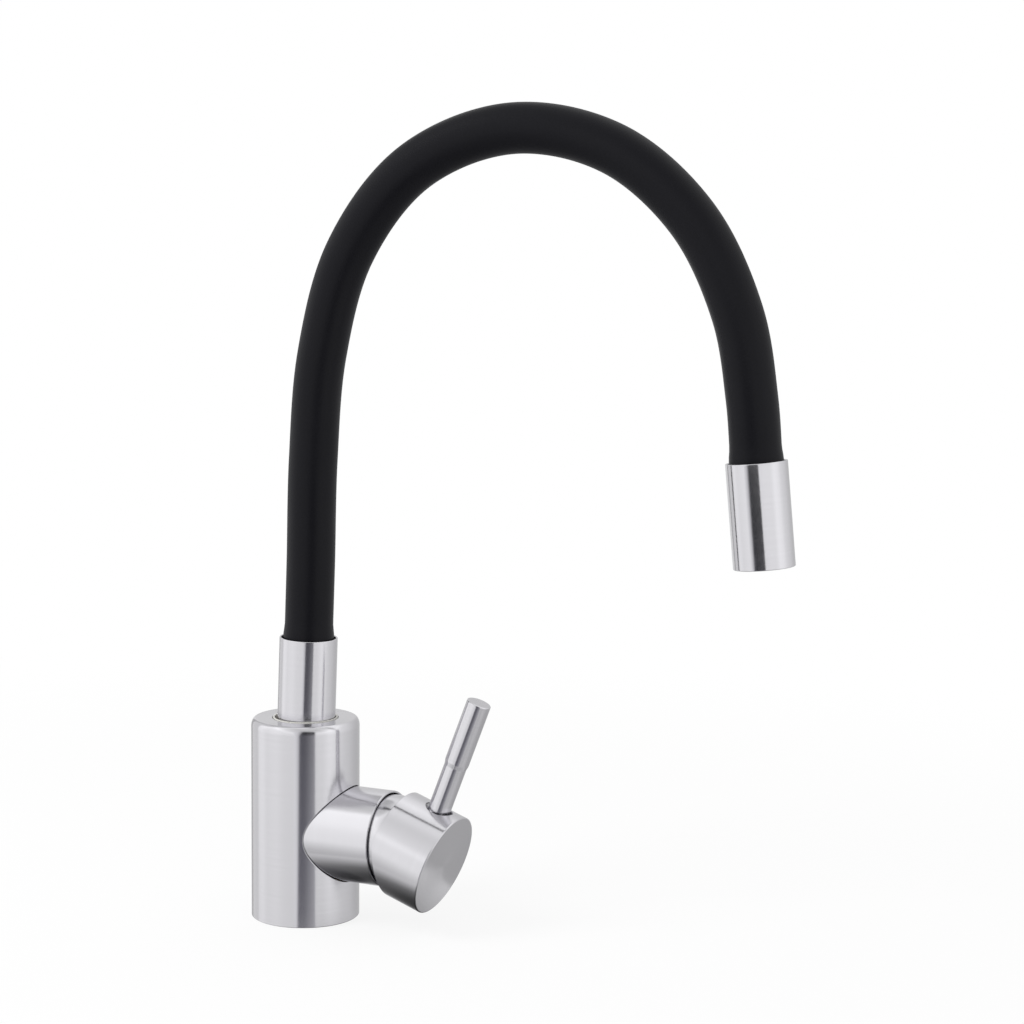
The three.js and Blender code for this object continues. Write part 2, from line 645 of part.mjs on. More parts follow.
function cartridgeStem() {
  const half = STEM_HALF_WIDTH;
  const shaft = block([-STEM_HEEL, -half, -half], [STEM_REACH, half, half]);
  const arm = bar([-ARM_LENGTH, 0, 0], [0, 0, 0], ARM_RADIUS, TINY);
  const ball = bare(new THREE.SphereGeometry(BALL_RADIUS, TINY, TINY));
  const pinHole = bar([0, -half - OVERRUN, 0], [0, half + OVERRUN, 0],
    PIN_RADIUS + CLEARANCE, TINY);
  const stem = join(shaft, arm, ball.translate(-ARM_LENGTH, 0, 0));
  return piece('cartridge_stem', cut(stem, pinHole), BRASS);
}

// The lever's line: a point that far from the head's axis
function onLever(distance) {
  const lean = THREE.MathUtils.degToRad(LEVER_LEAN_DEG);
  return [LEVER_REACH + distance * Math.sin(lean), 0, distance * Math.cos(lean)];
}

function handleHub() {
  const flangeStart = hubEnd - HUB_FLANGE;
  const half = STEM_HALF_WIDTH + CLEARANCE;
  const body = turnedAlongX([
    [0, HUB_REAR], [HUB_RADIUS, HUB_REAR], [HUB_RADIUS, flangeStart],
    [HUB_FLANGE_RADIUS, flangeStart], [HUB_FLANGE_RADIUS, hubEnd], [0, hubEnd],
  ], MEDIUM);
  const tools = [
    block([HUB_REAR - OVERRUN, -half, -half], [hubEnd - HUB_END_WALL, half, half]),
    bar(onLever(0), onLever(HUB_RADIUS + OVERRUN), LEVER_STUD_RADIUS + CLEARANCE, TINY),
    bar([CLAMP_REACH, 0, 0], [CLAMP_REACH, 0, -HUB_RADIUS - OVERRUN],
      CLAMP_RADIUS + CLEARANCE, TINY),
  ];
  return piece('handle_hub', cut(body, ...tools), BRASS);
}

function clampScrew() {
  const start = -STEM_HALF_WIDTH - CLEARANCE;
  const screw = bar([CLAMP_REACH, 0, start], [CLAMP_REACH, 0, start - CLAMP_LENGTH],
    CLAMP_RADIUS, TINY);
  return piece('clamp_screw', screw, PLAIN_STEEL);
}

function handleHead() {
  const bore = HEAD_RADIUS - HEAD_WALL;
  const drumShape = turnedAlongX([
    [bore, HEAD_REAR],
    ...arc(HEAD_RADIUS - RIM_ROUND, HEAD_REAR + RIM_ROUND, RIM_ROUND, RIM_ROUND,
      -1, 0, EDGE_STEPS),
    ...arc(HEAD_RADIUS - HEAD_ROUND, HEAD_FRONT - HEAD_ROUND, HEAD_ROUND, HEAD_ROUND,
      0, 1, EDGE_STEPS),
    [0, HEAD_FRONT],
    [0, headPlateStart],
    [bore, headPlateStart],
  ], FINE);
  const leverHole = bar(onLever(LEVER_START), onLever(LEVER_END),
    LEVER_LOWER_RADIUS + LEVER_HOLE_MARGIN, COARSE);
  const access = bar([CLAMP_REACH, 0, -HUB_RADIUS], [CLAMP_REACH, 0, -HEAD_RADIUS - OVERRUN],
    CLAMP_ACCESS_RADIUS, TINY);
  return piece('handle_head', cut(drumShape, leverHole, access, headSlant()), SATIN_STEEL);
}

// What the slant takes off the lower part of the head's open end
function headSlant() {
  const reach = HEAD_FRONT + HEAD_RADIUS;
  const wedge = block([-reach, -reach, -reach], [0, reach, 0]);
  wedge.rotateY(-THREE.MathUtils.degToRad(HEAD_SLANT_DEG));
  return wedge.translate(HEAD_REAR, 0, HEAD_SLANT_TOP);
}

// The rod is turned about Z, and its group stands it on the lever's line
function leverRod() {
  const rod = turned([
    [0, LEVER_START],
    [LEVER_LOWER_RADIUS - LEVER_EDGE, LEVER_START],
    [LEVER_LOWER_RADIUS, LEVER_START + LEVER_EDGE],
    [LEVER_LOWER_RADIUS, LEVER_STEP_START],
    [LEVER_UPPER_RADIUS, LEVER_STEP_END],
    ...arc(LEVER_UPPER_RADIUS - LEVER_EDGE, LEVER_END - LEVER_EDGE, LEVER_EDGE, LEVER_EDGE,
      0, 1, EDGE_STEPS),
    [0, LEVER_END],
  ], MEDIUM);
  const hole = turned(drum(LEVER_STUD_RADIUS + CLEARANCE, LEVER_START - OVERRUN,
    LEVER_STUD_END + CLEARANCE), TINY);
  return piece('lever_rod', cut(rod, hole), SATIN_STEEL);
}

function leverStud() {
  const stud = turned(drum(LEVER_STUD_RADIUS, LEVER_STUD_START, LEVER_STUD_END), TINY);
  return piece('lever_stud', stud, PLAIN_STEEL);
}

// Swivel

function swivelSocket() {
  const clipGroove = CLIP_OUTER_RADIUS + CLEARANCE;
  const socket = turned([
    [0, swivelBottom], [coreRadius, swivelBottom], [coreRadius, swivelTop],
    [chamberRadius, swivelTop], [chamberRadius, clipMiddle + clipHalf],
    [clipGroove, clipMiddle + clipHalf], [clipGroove, clipMiddle - clipHalf],
    [chamberRadius, clipMiddle - clipHalf], [chamberRadius, chamberFloor], [0, chamberFloor],
  ], MEDIUM);
  const tools = [
    bar([OUTLET_PASSAGE_X, 0, swivelBottom - OVERRUN],
      [OUTLET_PASSAGE_X, 0, chamberFloor + OVERRUN], OUTLET_PASSAGE_RADIUS, TINY),
    sealRing(SEAL_RADIUS + RING_SECTION_RADIUS + CLEARANCE,
      SEAL_RADIUS - RING_SECTION_RADIUS - CLEARANCE, swivelBottom - OVERRUN,
      swivelBottom + 2 * RING_SECTION_RADIUS + CLEARANCE),
  ];
  return piece('swivel_socket', cut(socket, ...tools), BRASS);
}

// A square ring round the outlet passage
function sealRing(radius, bore, from, to) {
  return turned(tube(radius, bore, from, to), COARSE).translate(OUTLET_PASSAGE_X, 0, 0);
}

function socketSeal() {
  const ring = sealRing(SEAL_RADIUS + RING_SECTION_RADIUS, SEAL_RADIUS - RING_SECTION_RADIUS,
    swivelBottom, swivelBottom + 2 * RING_SECTION_RADIUS);
  return piece('socket_seal', ring, RUBBER);
}

function swivelClip() {
  const half = CLIP_THICKNESS / 2;
  const ring = turned(tube(CLIP_OUTER_RADIUS, CLIP_INNER_RADIUS, clipMiddle - half,
    clipMiddle + half), MEDIUM);
  const opening = block([0, -CLIP_OPENING / 2, clipMiddle - half - OVERRUN],
    [CLIP_OUTER_RADIUS + OVERRUN, CLIP_OPENING / 2, clipMiddle + half + OVERRUN]);
  return piece('swivel_clip', cut(ring, opening), PLAIN_STEEL);
}

function glideRing() {
  const outer = NECK_HOLE_RADIUS - CLEARANCE;
  const wall = outer - GLIDE_WALL;
  const ring = turned([
    [GLIDE_FOOT_INNER, flangeBottom], [outer, flangeBottom],
    [outer, bodyHeight + GLIDE_PROUD], [wall, bodyHeight + GLIDE_PROUD],
    [wall, flangeBottom + GLIDE_FOOT], [GLIDE_FOOT_INNER, flangeBottom + GLIDE_FOOT],
  ], MEDIUM);
  return piece('glide_ring', ring, WHITE_PLASTIC);
}

function swivelSpigot() {
  const clipRoot = CLIP_INNER_RADIUS - CLEARANCE;
  const ringRoot = SPIGOT_RADIUS - RING_GROOVE_DEPTH;
  const ringHalf = RING_SECTION_RADIUS + CLEARANCE;
  const grooves = ringHeights.flatMap((height) => [
    [SPIGOT_RADIUS, height - ringHalf], [ringRoot, height - ringHalf],
    [ringRoot, height + ringHalf], [SPIGOT_RADIUS, height + ringHalf],
  ]);
  const upright = turned([
    [0, spigotBottom], [SPIGOT_RADIUS, spigotBottom], ...grooves,
    [SPIGOT_RADIUS, clipMiddle - clipHalf], [clipRoot, clipMiddle - clipHalf],
    [clipRoot, clipMiddle + clipHalf], [SPIGOT_RADIUS, clipMiddle + clipHalf],
    [SPIGOT_RADIUS, flangeBottom], [FLANGE_RADIUS, flangeBottom],
    [FLANGE_RADIUS, flangeTop], [0, flangeTop],
  ], MEDIUM);
  const nipple = turned(drum(NIPPLE_RADIUS, NIPPLE_START, NIPPLE_END), COARSE)
    .applyMatrix4(neckFrame);
  const lowerBore = turned(drum(SPIGOT_BORE, spigotBottom - OVERRUN, flangeBottom), COARSE);
  const upperBore = turned(drum(SPIGOT_BORE, 0, NIPPLE_END + OVERRUN), COARSE)
    .applyMatrix4(neckFrame);
  const spigot = cut(join(upright, nipple), lowerBore, upperBore);
  return piece('swivel_spigot', spigot, BRASS);
}

function spigotRings() {
  const section = RING_SECTION_RADIUS;
  const centre = SPIGOT_RADIUS - RING_GROOVE_DEPTH + CLEARANCE + section;
  return ringHeights.map((height, i) => piece(`spigot_ring_${i + 1}`,
    turned(arc(centre, height, section, section, -2, 2, RING_SECTION_SIDES).slice(1), MEDIUM),
    RUBBER));
}

// Neck, made along its leaning axis

function neckSleeve() {
  const sleeve = turned(roundedTube(NECK_RADIUS, neckInnerRadius, NECK_START, NECK_END,
    RIM_ROUND), FINE);
  return piece('neck_sleeve', sleeve, SATIN_STEEL);
}

// Outline of a barb that points along +Z from a shoulder, down to the bore
function barb(shoulder) {
  const pitch = BARB_LENGTH / BARB_TEETH;
  const teeth = Array.from({ length: BARB_TEETH }, (_, i) => [
    [BARB_RADIUS, shoulder + i * pitch], [BARB_ROOT_RADIUS, shoulder + (i + 1) * pitch],
  ]);
  return [...teeth.flat(), [BARB_BORE, shoulder + BARB_LENGTH]];
}

function footFitting() {
  const threadTop = NIPPLE_END + CLEARANCE;
  const outer = neckInnerRadius - CLEARANCE;
  const fitting = turned([
    [NIPPLE_RADIUS + CLEARANCE, FOOT_FITTING_START], [outer, FOOT_FITTING_START],
    [outer, FOOT_FITTING_END], ...barb(FOOT_FITTING_END), [BARB_BORE, threadTop],
    [NIPPLE_RADIUS + CLEARANCE, threadTop],
  ], MEDIUM);
  return piece('foot_fitting', fitting, BRASS);
}

// Nozzle, made along its tilted axis, downwards from its rim

function nozzleShell() {
  const shell = turned(roundedTube(NOZZLE_RADIUS, nozzleInnerRadius, -NOZZLE_LENGTH, 0,
    RIM_ROUND), FINE);
  return piece('nozzle_shell', shell, SATIN_STEEL);
}

function nozzleFitting() {
  const outer = nozzleInnerRadius - CLEARANCE;
  const chamberTop = fittingBottom + NOZZLE_CHAMBER_DEPTH;
  const fitting = turned([
    [NOZZLE_CHAMBER_RADIUS, fittingBottom], [outer, fittingBottom], [outer, fittingTop],
    ...barb(fittingTop), [BARB_BORE, chamberTop], [NOZZLE_CHAMBER_RADIUS, chamberTop],
  ], MEDIUM);
  return piece('nozzle_fitting', fitting, BRASS);
}

function aeratorHousing() {
  const bore = cupRadius + CLEARANCE;
  const bottom = -NOZZLE_LENGTH + SCREEN_RECESS;
  const housing = turned([
    [bore, bottom], [aeratorRadius, bottom], [aeratorRadius, aeratorTop],
    [AERATOR_SEAT_RADIUS, aeratorTop], [AERATOR_SEAT_RADIUS, aeratorSeat],
    [bore, aeratorSeat],
  ], MEDIUM);
  return piece('aerator_housing', housing, BRASS);
}

function aeratorGasket() {
  const top = aeratorSeat - CLEARANCE;
  const ring = turned(tube(cupRadius, cupRadius - AERATOR_GASKET_WIDTH,
    top - AERATOR_GASKET_HEIGHT, top), MEDIUM);
  return piece('aerator_gasket', ring, RUBBER);
}

function aeratorInsert() {
  const top = aeratorSeat - AERATOR_GASKET_HEIGHT - 2 * CLEARANCE;
  const bottom = screenTop + CLEARANCE;
  const bore = cupRadius - AERATOR_CUP_WALL;
  const cup = turned([
    [bore, bottom], [cupRadius, bottom], [cupRadius, top], [AERATOR_CUP_HOLE, top],
    [AERATOR_CUP_HOLE, top - AERATOR_CUP_WALL], [bore, top - AERATOR_CUP_WALL],
  ], MEDIUM);
  return piece('aerator_insert', cup, WHITE_PLASTIC);
}

// Holes of the outlet screen lie on a triangular grid, as many rings as fit its size
function outletScreen() {
  const tools = [];
  const rowHeight = SCREEN_HOLE_SPACING * Math.sqrt(3) / 2;
  for (let row = -SCREEN_RINGS; row <= SCREEN_RINGS; row += 1) {
    const count = 2 * SCREEN_RINGS + 1 - Math.abs(row);
    for (let i = 0; i < count; i += 1) {
      const x = (i - (count - 1) / 2) * SCREEN_HOLE_SPACING;
      const y = row * rowHeight;
      tools.push(bar([x, y, screenBottom - OVERRUN], [x, y, screenTop + OVERRUN],
        SCREEN_HOLE_RADIUS, SCREEN_HOLE_SIDES));
    }
  }
  const plate = turned(drum(cupRadius, screenBottom, screenTop), MEDIUM);
  return piece('outlet_screen', cut(plate, ...tools), PLAIN_STEEL);
}

// Hose

// Places on the arch, from shares of its reach and of its height over a rim
function archPlaces(shares, rimHeight) {
  return shares.map(([reachShare, heightShare]) => new THREE.Vector3(
    reachShare * NOZZLE_RIM_X, 0,
    THREE.MathUtils.lerp(rimHeight, ARCH_HEIGHT, heightShare)));
}

// The route runs on a little past both ends of the hose, along the neck and the nozzle
const neckRim = new THREE.Vector3(0, 0, NECK_END).applyMatrix4(neckFrame);
const route = new THREE.CatmullRomCurve3([
  new THREE.Vector3(0, 0, hoseStart - ROUTE_LEAD).applyMatrix4(neckFrame),
  new THREE.Vector3(0, 0, hoseStart).applyMatrix4(neckFrame),
  neckRim,
  ...archPlaces(RISE_SHARES, neckRim.z),
  ...archPlaces(FALL_SHARES, NOZZLE_RIM_HEIGHT),
  new THREE.Vector3(0, 0, 0).applyMatrix4(nozzleFrame),
  new THREE.Vector3(0, 0, -HOSE_SEAT_DEPTH).applyMatrix4(nozzleFrame),
  new THREE.Vector3(0, 0, -HOSE_SEAT_DEPTH - ROUTE_LEAD).applyMatrix4(nozzleFrame),
], false, 'centripetal');
route.arcLengthDivisions = ROUTE_DIVISIONS;
const routeLength = route.getLength();

// Distances along the route: the hose's two ends, and its bending places
const hoseFrom = ROUTE_LEAD;
const hoseTo = routeLength - ROUTE_LEAD;
const bendSpacing = (hoseTo - hoseFrom - 2 * FIRST_BEND) / (HOSE_BENDS - 1);
const bends = Array.from({ length: HOSE_BENDS },
  (_, i) => hoseFrom + FIRST_BEND + i * bendSpacing);

// Part of the route, from one distance along it to another
class Stretch extends THREE.Curve {
  constructor(from, to) {
    super();
    this.from = from;
    this.to = to;
  }

  getPoint(t, target = new THREE.Vector3()) {
    const distance = THREE.MathUtils.lerp(this.from, this.to, t);
    return route.getPointAt(distance / routeLength, target);
  }
}

// A round bar along the route
function hoseBar(radius, sides, from, to) {
  const section = new THREE.Shape().setFromPoints(Array.from({ length: sides }, (_, i) => {
    const angle = 2 * Math.PI * i / sides;
    return new THREE.Vector2(radius * Math.cos(angle), radius * Math.sin(angle));
  }));
  const steps = Math.ceil((to - from) / HOSE_STEP);
  return bare(new THREE.ExtrudeGeometry(section,
    { steps, bevelEnabled: false, extrudePath: new Stretch(from, to) }));
}

// A ball on the route, its poles along the hose
function hoseBall(radius, distance) {
  const share = distance / routeLength;
  const up = new THREE.Vector3(0, 1, 0);
  const turn = new THREE.Quaternion().setFromUnitVectors(up, route.getTangentAt(share));
  const centre = route.getPointAt(share);
  const ball = new THREE.SphereGeometry(radius, HOSE_SIDES, BALL_RINGS)
    .applyQuaternion(turn);
  return bare(ball.translate(centre.x, centre.y, centre.z));
}

// The sleeve's widened end, from its seat to a metal rim and a little past it
function flare(seat, rim, frame) {
  const tip = rim + HOSE_FLARE_LENGTH;
  return turned([
    [0, seat], [HOSE_FLARE_RADIUS, seat], [HOSE_FLARE_RADIUS, rim],
    [HOSE_RADIUS - CLEARANCE, tip], [0, tip],
  ], HOSE_SIDES).applyMatrix4(frame);
}

// Each piece of the sleeve ends in a ball, which sits in the hollow start of the next piece,
// so that the sleeve bends between them without parting. Its core stops short of both, and a
// narrower bore carries on through them.
function hosePiece(i) {
  const first = i === 0;
  const last = i === HOSE_BENDS;
  const before = bends[i - 1];
  const after = bends[i];
  const coreFrom = first ? hoseFrom : before + CORE_SOCKET_MARGIN;
  const coreTo = last ? hoseTo : after - CORE_BALL_MARGIN;
  let sleeve = hoseBar(HOSE_RADIUS, HOSE_SIDES, first ? hoseFrom : before + BEND_MARGIN,
    last ? hoseTo : after - BEND_MARGIN);
  const tools = [hoseBar(sleeveBore, CORE_SIDES, first ? coreFrom - OVERRUN : coreFrom,
    last ? coreTo + OVERRUN : coreTo)];
  if (first) {
    sleeve = join(sleeve, flare(hoseStart, NECK_END, neckFrame));
  } else {
    tools.push(hoseBall(BALL_END_RADIUS + BALL_CLEARANCE, before));
    tools.push(hoseBar(WATER_RADIUS, TINY, before, coreFrom + OVERRUN));
  }
  if (last) {
    sleeve = join(sleeve, flare(-HOSE_SEAT_DEPTH, 0, nozzleFrame));
  } else {
    sleeve = join(sleeve, hoseBall(BALL_END_RADIUS, after));
    tools.push(hoseBar(WATER_RADIUS, TINY, coreTo - OVERRUN,
      after + BALL_END_RADIUS + OVERRUN));
  }
  const core = cut(
    hoseBar(hoseCoreRadius, CORE_SIDES, coreFrom + CLEARANCE, coreTo - CLEARANCE),
    hoseBar(CORE_BORE, TINY, coreFrom, coreTo),
  );
  return [
    piece(`hose_sleeve_${i + 1}`, cut(sleeve, ...tools), SILICONE),
    piece(`hose_core_${i + 1}`, core, PLAIN_STEEL),
  ];
}

// The whole faucet

const disc = group(movingDisc(), discCarrier());
disc.position.z = discSlide;

const lever = group(leverRod(), leverStud());
lever.position.x = LEVER_REACH;
lever.rotation.y = THREE.MathUtils.degToRad(LEVER_LEAN_DEG);

const handle = group(cartridgeStem(), handleHub(), clampScrew(), handleHead(), lever);
handle.rotation.y = handleTilt;

const mixer = group(stemCollar(), pivotPin(), disc, handle);
mixer.position.x = pivotX;
mixer.rotation.x = -THREE.MathUtils.degToRad(HANDLE_TURN_DEG);

const branch = group(branchTube(), valveBlock(), cartridgeBase(), ...portSeals(), fixedDisc(),
  cartridgeHousing(), retainingNut(), domeCap(), mixer);
branch.position.z = BRANCH_AXIS_HEIGHT;

const body = group(bodyShell(), basePlug(), baseGasket(), branch, swivelSocket(), socketSeal(),
  swivelClip(), glideRing());
body.rotation.z = -THREE.MathUtils.degToRad(BRANCH_SWING_DEG);

const neck = group(neckSleeve(), footFitting());
neck.applyMatrix4(neckFrame);

const nozzle = group(nozzleShell(), nozzleFitting(), aeratorHousing(), aeratorGasket(),
  aeratorInsert(), outletScreen());
nozzle.applyMatrix4(nozzleFrame);

const hose = group(...Array.from({ length: HOSE_BENDS + 1 }, (_, i) => hosePiece(i)).flat());

const spout = group(swivelSpigot(), ...spigotRings(), neck, hose, nozzle);

const faucet = group(body, spout);

export default faucet;
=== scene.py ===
# %% [markdown]
# # A kitchen faucet with a flexible hose, in brushed steel
#
# The faucet stands on the counter, with its upright body round the Z axis. A black silicone
# hose arches over in the XZ plane to the nozzle. The spout can swing, and stands a few degrees
# from the line of the short branch that carries the handle.
#
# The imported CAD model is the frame: it fixes where every piece is. This file makes the
# surfaces that the eye meets as smooth shapes, gives each piece its finish, and then sets up
# the camera, the floor and the light. The scene is in metres.

import json
import math

import bmesh
import bpy
import numpy as np
from mathutils import Matrix, Vector


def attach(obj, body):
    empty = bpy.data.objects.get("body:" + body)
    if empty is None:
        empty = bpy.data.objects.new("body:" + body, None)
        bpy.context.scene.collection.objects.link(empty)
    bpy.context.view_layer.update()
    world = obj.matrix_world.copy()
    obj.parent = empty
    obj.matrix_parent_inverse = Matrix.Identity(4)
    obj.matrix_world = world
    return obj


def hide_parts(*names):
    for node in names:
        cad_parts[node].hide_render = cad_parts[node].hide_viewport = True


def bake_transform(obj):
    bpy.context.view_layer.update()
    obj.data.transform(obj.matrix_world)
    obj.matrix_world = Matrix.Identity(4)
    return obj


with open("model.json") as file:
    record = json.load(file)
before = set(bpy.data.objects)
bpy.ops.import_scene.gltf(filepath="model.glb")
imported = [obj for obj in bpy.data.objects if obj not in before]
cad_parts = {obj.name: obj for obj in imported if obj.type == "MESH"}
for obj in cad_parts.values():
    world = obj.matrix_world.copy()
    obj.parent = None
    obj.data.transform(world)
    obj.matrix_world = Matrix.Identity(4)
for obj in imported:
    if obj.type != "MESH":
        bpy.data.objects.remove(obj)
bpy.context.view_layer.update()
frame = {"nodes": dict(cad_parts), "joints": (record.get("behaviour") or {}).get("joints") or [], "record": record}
nodes = frame["nodes"]
scene = bpy.context.scene

# %% [markdown]
# ## Units and frames
#
# The faucet's own sizes are in millimetres, as in the CAD source, and each shape takes them
# times MM. The neck leans a little, the nozzle tilts, and the handle is turned and tipped. Such
# a piece could be given a turned object, but its pattern and its place would then depend on
# that. Here each is made round its own upright axis, and its frame, a 4 x 4 matrix, then puts
# the points of the mesh where they belong.

# %% Frames of the leaning, tilted and turned pieces
MM = 0.001

BRANCH_SWING = -4.3         # degrees round the body, from the spout's plane
PIN = (46, 0, 40.7)         # the handle's centre, with +X along the branch
HANDLE_TURN = -2.3          # degrees round the branch
HANDLE_TILT = 19            # degrees down at the front
NECK_PIVOT = 78             # the height that the neck leans from
NECK_LEAN = 1.8
NOZZLE_RIM = (211.5, 0, 220.4)
NOZZLE_TILT = 5.75


def turn(axis, degrees):
    """A rotation about one of the axes."""
    return Matrix.Rotation(math.radians(degrees), 4, axis)


def place(x, y, z):
    """A shift, from millimetres."""
    return Matrix.Translation(Vector((x, y, z)) * MM)


ALONG_X = turn("Y", 90)                                   # the lathe's Z becomes +X
neck_frame = place(0, 0, NECK_PIVOT) @ turn("Y", NECK_LEAN)
nozzle_frame = place(*NOZZLE_RIM) @ turn("Y", -NOZZLE_TILT)
branch_frame = turn("Z", BRANCH_SWING)
handle_frame = branch_frame @ place(*PIN) @ turn("X", HANDLE_TURN) @ turn("Y", HANDLE_TILT)
print("handle's centre:", handle_frame.translation, "nozzle's rim:", nozzle_frame.translation)

# %% [markdown]
# ## From grids of points to a mesh
#
# Every new piece is a set of grids: a grid is an array of points in rows and columns, and its
# quads join neighbours. Grids that share an edge have the same points there, so merging
# doubles closes the piece. That gives even quads, which shade better than what a modifier or
# a boolean cut leaves. The UV map holds the distance along the piece's axis (U) and round it
# (V), both in metres, and the brushing follows it.

# %% Build a mesh from grids
UPRIGHT = Matrix.Identity(4)
WELD = 0.002                # millimetres: points nearer than this are one
SHARP = 60                  # degrees: an edge that turns more is drawn sharp


def quads_of(rows, columns, first):
    """Corner numbers of every quad of a grid whose first point has the number first."""
    number = first + np.arange(rows * columns).reshape(rows, columns)
    return np.stack(
        [number[:-1, :-1], number[:-1, 1:], number[1:, 1:], number[1:, :-1]], -1
    ).reshape(-1, 4)


def build(name, grids, frame_matrix=UPRIGHT):
    """A closed smooth mesh from (points, uv) grids in millimetres, placed by its frame."""
    points, uvs, quads, first = [], [], [], 0
    for grid, uv in grids:
        rows, columns = grid.shape[:2]
        quads.append(quads_of(rows, columns, first))
        points.append(grid.reshape(-1, 3))
        uvs.append(uv.reshape(-1, 2))
        first += rows * columns
    points, uvs, quads = (np.concatenate(part) for part in (points, uvs, quads))
    mesh = bpy.data.meshes.new(name)
    mesh.from_pydata(points * MM, [], quads)
    layer = mesh.uv_layers.new(name="UVMap")
    layer.data.foreach_set("uv", (uvs[quads.reshape(-1)] * MM).astype(np.float32).ravel())
    mesh.transform(frame_matrix)
    weld = bmesh.new()
    weld.from_mesh(mesh)
    bmesh.ops.remove_doubles(weld, verts=weld.verts, dist=WELD * MM)
    bmesh.ops.recalc_face_normals(weld, faces=weld.faces)
    open_edges = sum(edge.is_boundary for edge in weld.edges)
    weld.to_mesh(mesh)
    weld.free()
    mesh.shade_smooth()
    mesh.set_sharp_from_angle(angle=math.radians(SHARP))
    piece = bpy.data.objects.new(name, mesh)
    scene.collection.objects.link(piece)
    print(name, len(mesh.polygons), "faces,", open_edges, "open edges")
    return piece


# %% [markdown]
# ## Standing in for a CAD node
#
# A dressed piece takes the place of a plain CAD node. It could simply cover the node, but then
# both would be there. So the node that it replaces is hidden, and the piece rides on the moving
# body that carries it.

# %% Put a piece in a node's place


def stand_in(piece, cad_node, body_name):
    """The piece replaces a CAD node, and rides on a body."""
    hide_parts(cad_node)
    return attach(piece, body_name)


# %% [markdown]
# ## True normals on round walls
#
# Where a wall goes round a hole, its quads are uneven, and normals averaged from them wobble
# by a degree. A polished tube would show that as wavy reflections. The wall is a known drum,
# so its corners get the drum's own normals instead, which point straight away from its axis.

# %% Set the normals of round walls
ON_WALL = 0.004             # millimetres: how near a drum a point counts as on it
TINY = 1e-9                 # keeps a division by zero away


def true_normals(piece, frame_matrix, *drum_radii):
    """Corners of faces that lie on a drum round the frame's Z get the normal (x, y, 0) / r."""
    mesh = piece.data
    turned_back = np.array(frame_matrix.inverted())
    place_of = np.empty(len(mesh.vertices) * 3)
    mesh.vertices.foreach_get("co", place_of)
    local = (place_of.reshape(-1, 3) @ turned_back[:3, :3].T + turned_back[:3, 3]) / MM
    distance = np.hypot(local[:, 0], local[:, 1])
    corner = np.empty(len(mesh.loops), int)
    mesh.loops.foreach_get("vertex_index", corner)
    first = np.empty(len(mesh.polygons), int)
    mesh.polygons.foreach_get("loop_start", first)
    count = np.diff(np.append(first, len(corner)))
    normals = np.empty(len(corner) * 3)
    mesh.corner_normals.foreach_get("vector", normals)
    normals = normals.reshape(-1, 3)
    changed = 0
    for drum_radius in drum_radii:
        on_it = np.abs(distance - drum_radius)[corner] < ON_WALL
        whole = np.repeat(np.logical_and.reduceat(on_it, first), count)
        radial = np.stack([local[corner, 0], local[corner, 1], 0 * corner], -1)
        radial = radial / np.maximum(np.linalg.norm(radial, axis=1), TINY)[:, None]
        radial = radial @ np.array(frame_matrix)[:3, :3].T
        side = np.sign((radial * normals).sum(1))[:, None]
        normals[whole] = (radial * side)[whole]
        changed += int(whole.sum())
    mesh.normals_split_custom_set(normals.tolist())
    print(piece.name, "corners with true normals:", changed, "of", len(corner))


# %% [markdown]
# ## Turned pieces
#
# Most of the faucet is turned on a lathe: a profile of radius and height goes once round an
# axis. A real turned edge is never sharp, and its small rounding catches a line of light. So
# each corner of the profile may have a radius, and a support row close beside the arc keeps
# the flats flat under smooth shading.

# %% Profiles with rounded corners
COLUMNS = 144               # of quads round a turned piece
ARC_STEPS = 5
SUPPORT = 0.12              # how close a support row lies to a rounded edge
SMALL_EDGE = 0.3            # rounding of a thin cut edge


def rounded(corners):
    """Points of a closed profile from (radius, height, rounding) corners.

    A rounding r at a corner between the directions a and b starts and ends r / tan(half the
    angle between them) from the corner, and follows the circle that touches both sides."""
    corners = np.array(corners, float)
    out = []
    for before, here, after in zip(
        np.roll(corners, 1, 0), corners, np.roll(corners, -1, 0)
    ):
        point, radius = here[:2], here[2]
        if radius == 0:
            out.append(point)
            continue
        a = (before[:2] - point) / np.linalg.norm(before[:2] - point)
        b = (after[:2] - point) / np.linalg.norm(after[:2] - point)
        half = math.acos(np.clip(a @ b, -1, 1)) / 2
        reach = radius / math.tan(half)
        centre = point + (a + b) / np.linalg.norm(a + b) * radius / math.sin(half)
        start, end = point + a * reach - centre, point + b * reach - centre
        share = np.linspace(0, 1, ARC_STEPS + 1)[:, None]
        span = math.pi - 2 * half
        arc = (np.sin((1 - share) * span) * start + np.sin(share * span) * end) / math.sin(span)
        out += [point + a * (reach + SUPPORT), *(centre + arc), point + b * (reach + SUPPORT)]
    return np.array(out)


def turned(profile, columns=COLUMNS, first_turn=-math.pi):
    """The grid of a profile turned once round Z.

    A point at radius r and height h goes to (r cos t, r sin t, h) for every turn t."""
    turns = first_turn + np.linspace(0, 2 * math.pi, columns + 1)
    radius, height = profile[:, :1], profile[:, 1:]
    points = np.stack(np.broadcast_arrays(
        radius * np.cos(turns), radius * np.sin(turns), height), -1)
    steps = np.linalg.norm(np.diff(profile, axis=0), axis=1)
    along = np.concatenate([[0], np.cumsum(steps)])
    widest = profile[:, 0].max()
    uv = np.stack(np.broadcast_arrays(along[:, None], turns * widest), -1)
    return points, uv


# %% [markdown]
# ## Walls with holes
#
# The body has a large hole where the branch comes out, and the handle's head has one for the
# lever. A boolean cut would leave ragged shading along the edge. Here the wall round a hole is
# a set of rings instead: the outermost follows the wall's own grid, the innermost the hole's
# rim, and the ones between pass from one to the other.

# %% The patch of a wall round a hole
RIM_RINGS = 9


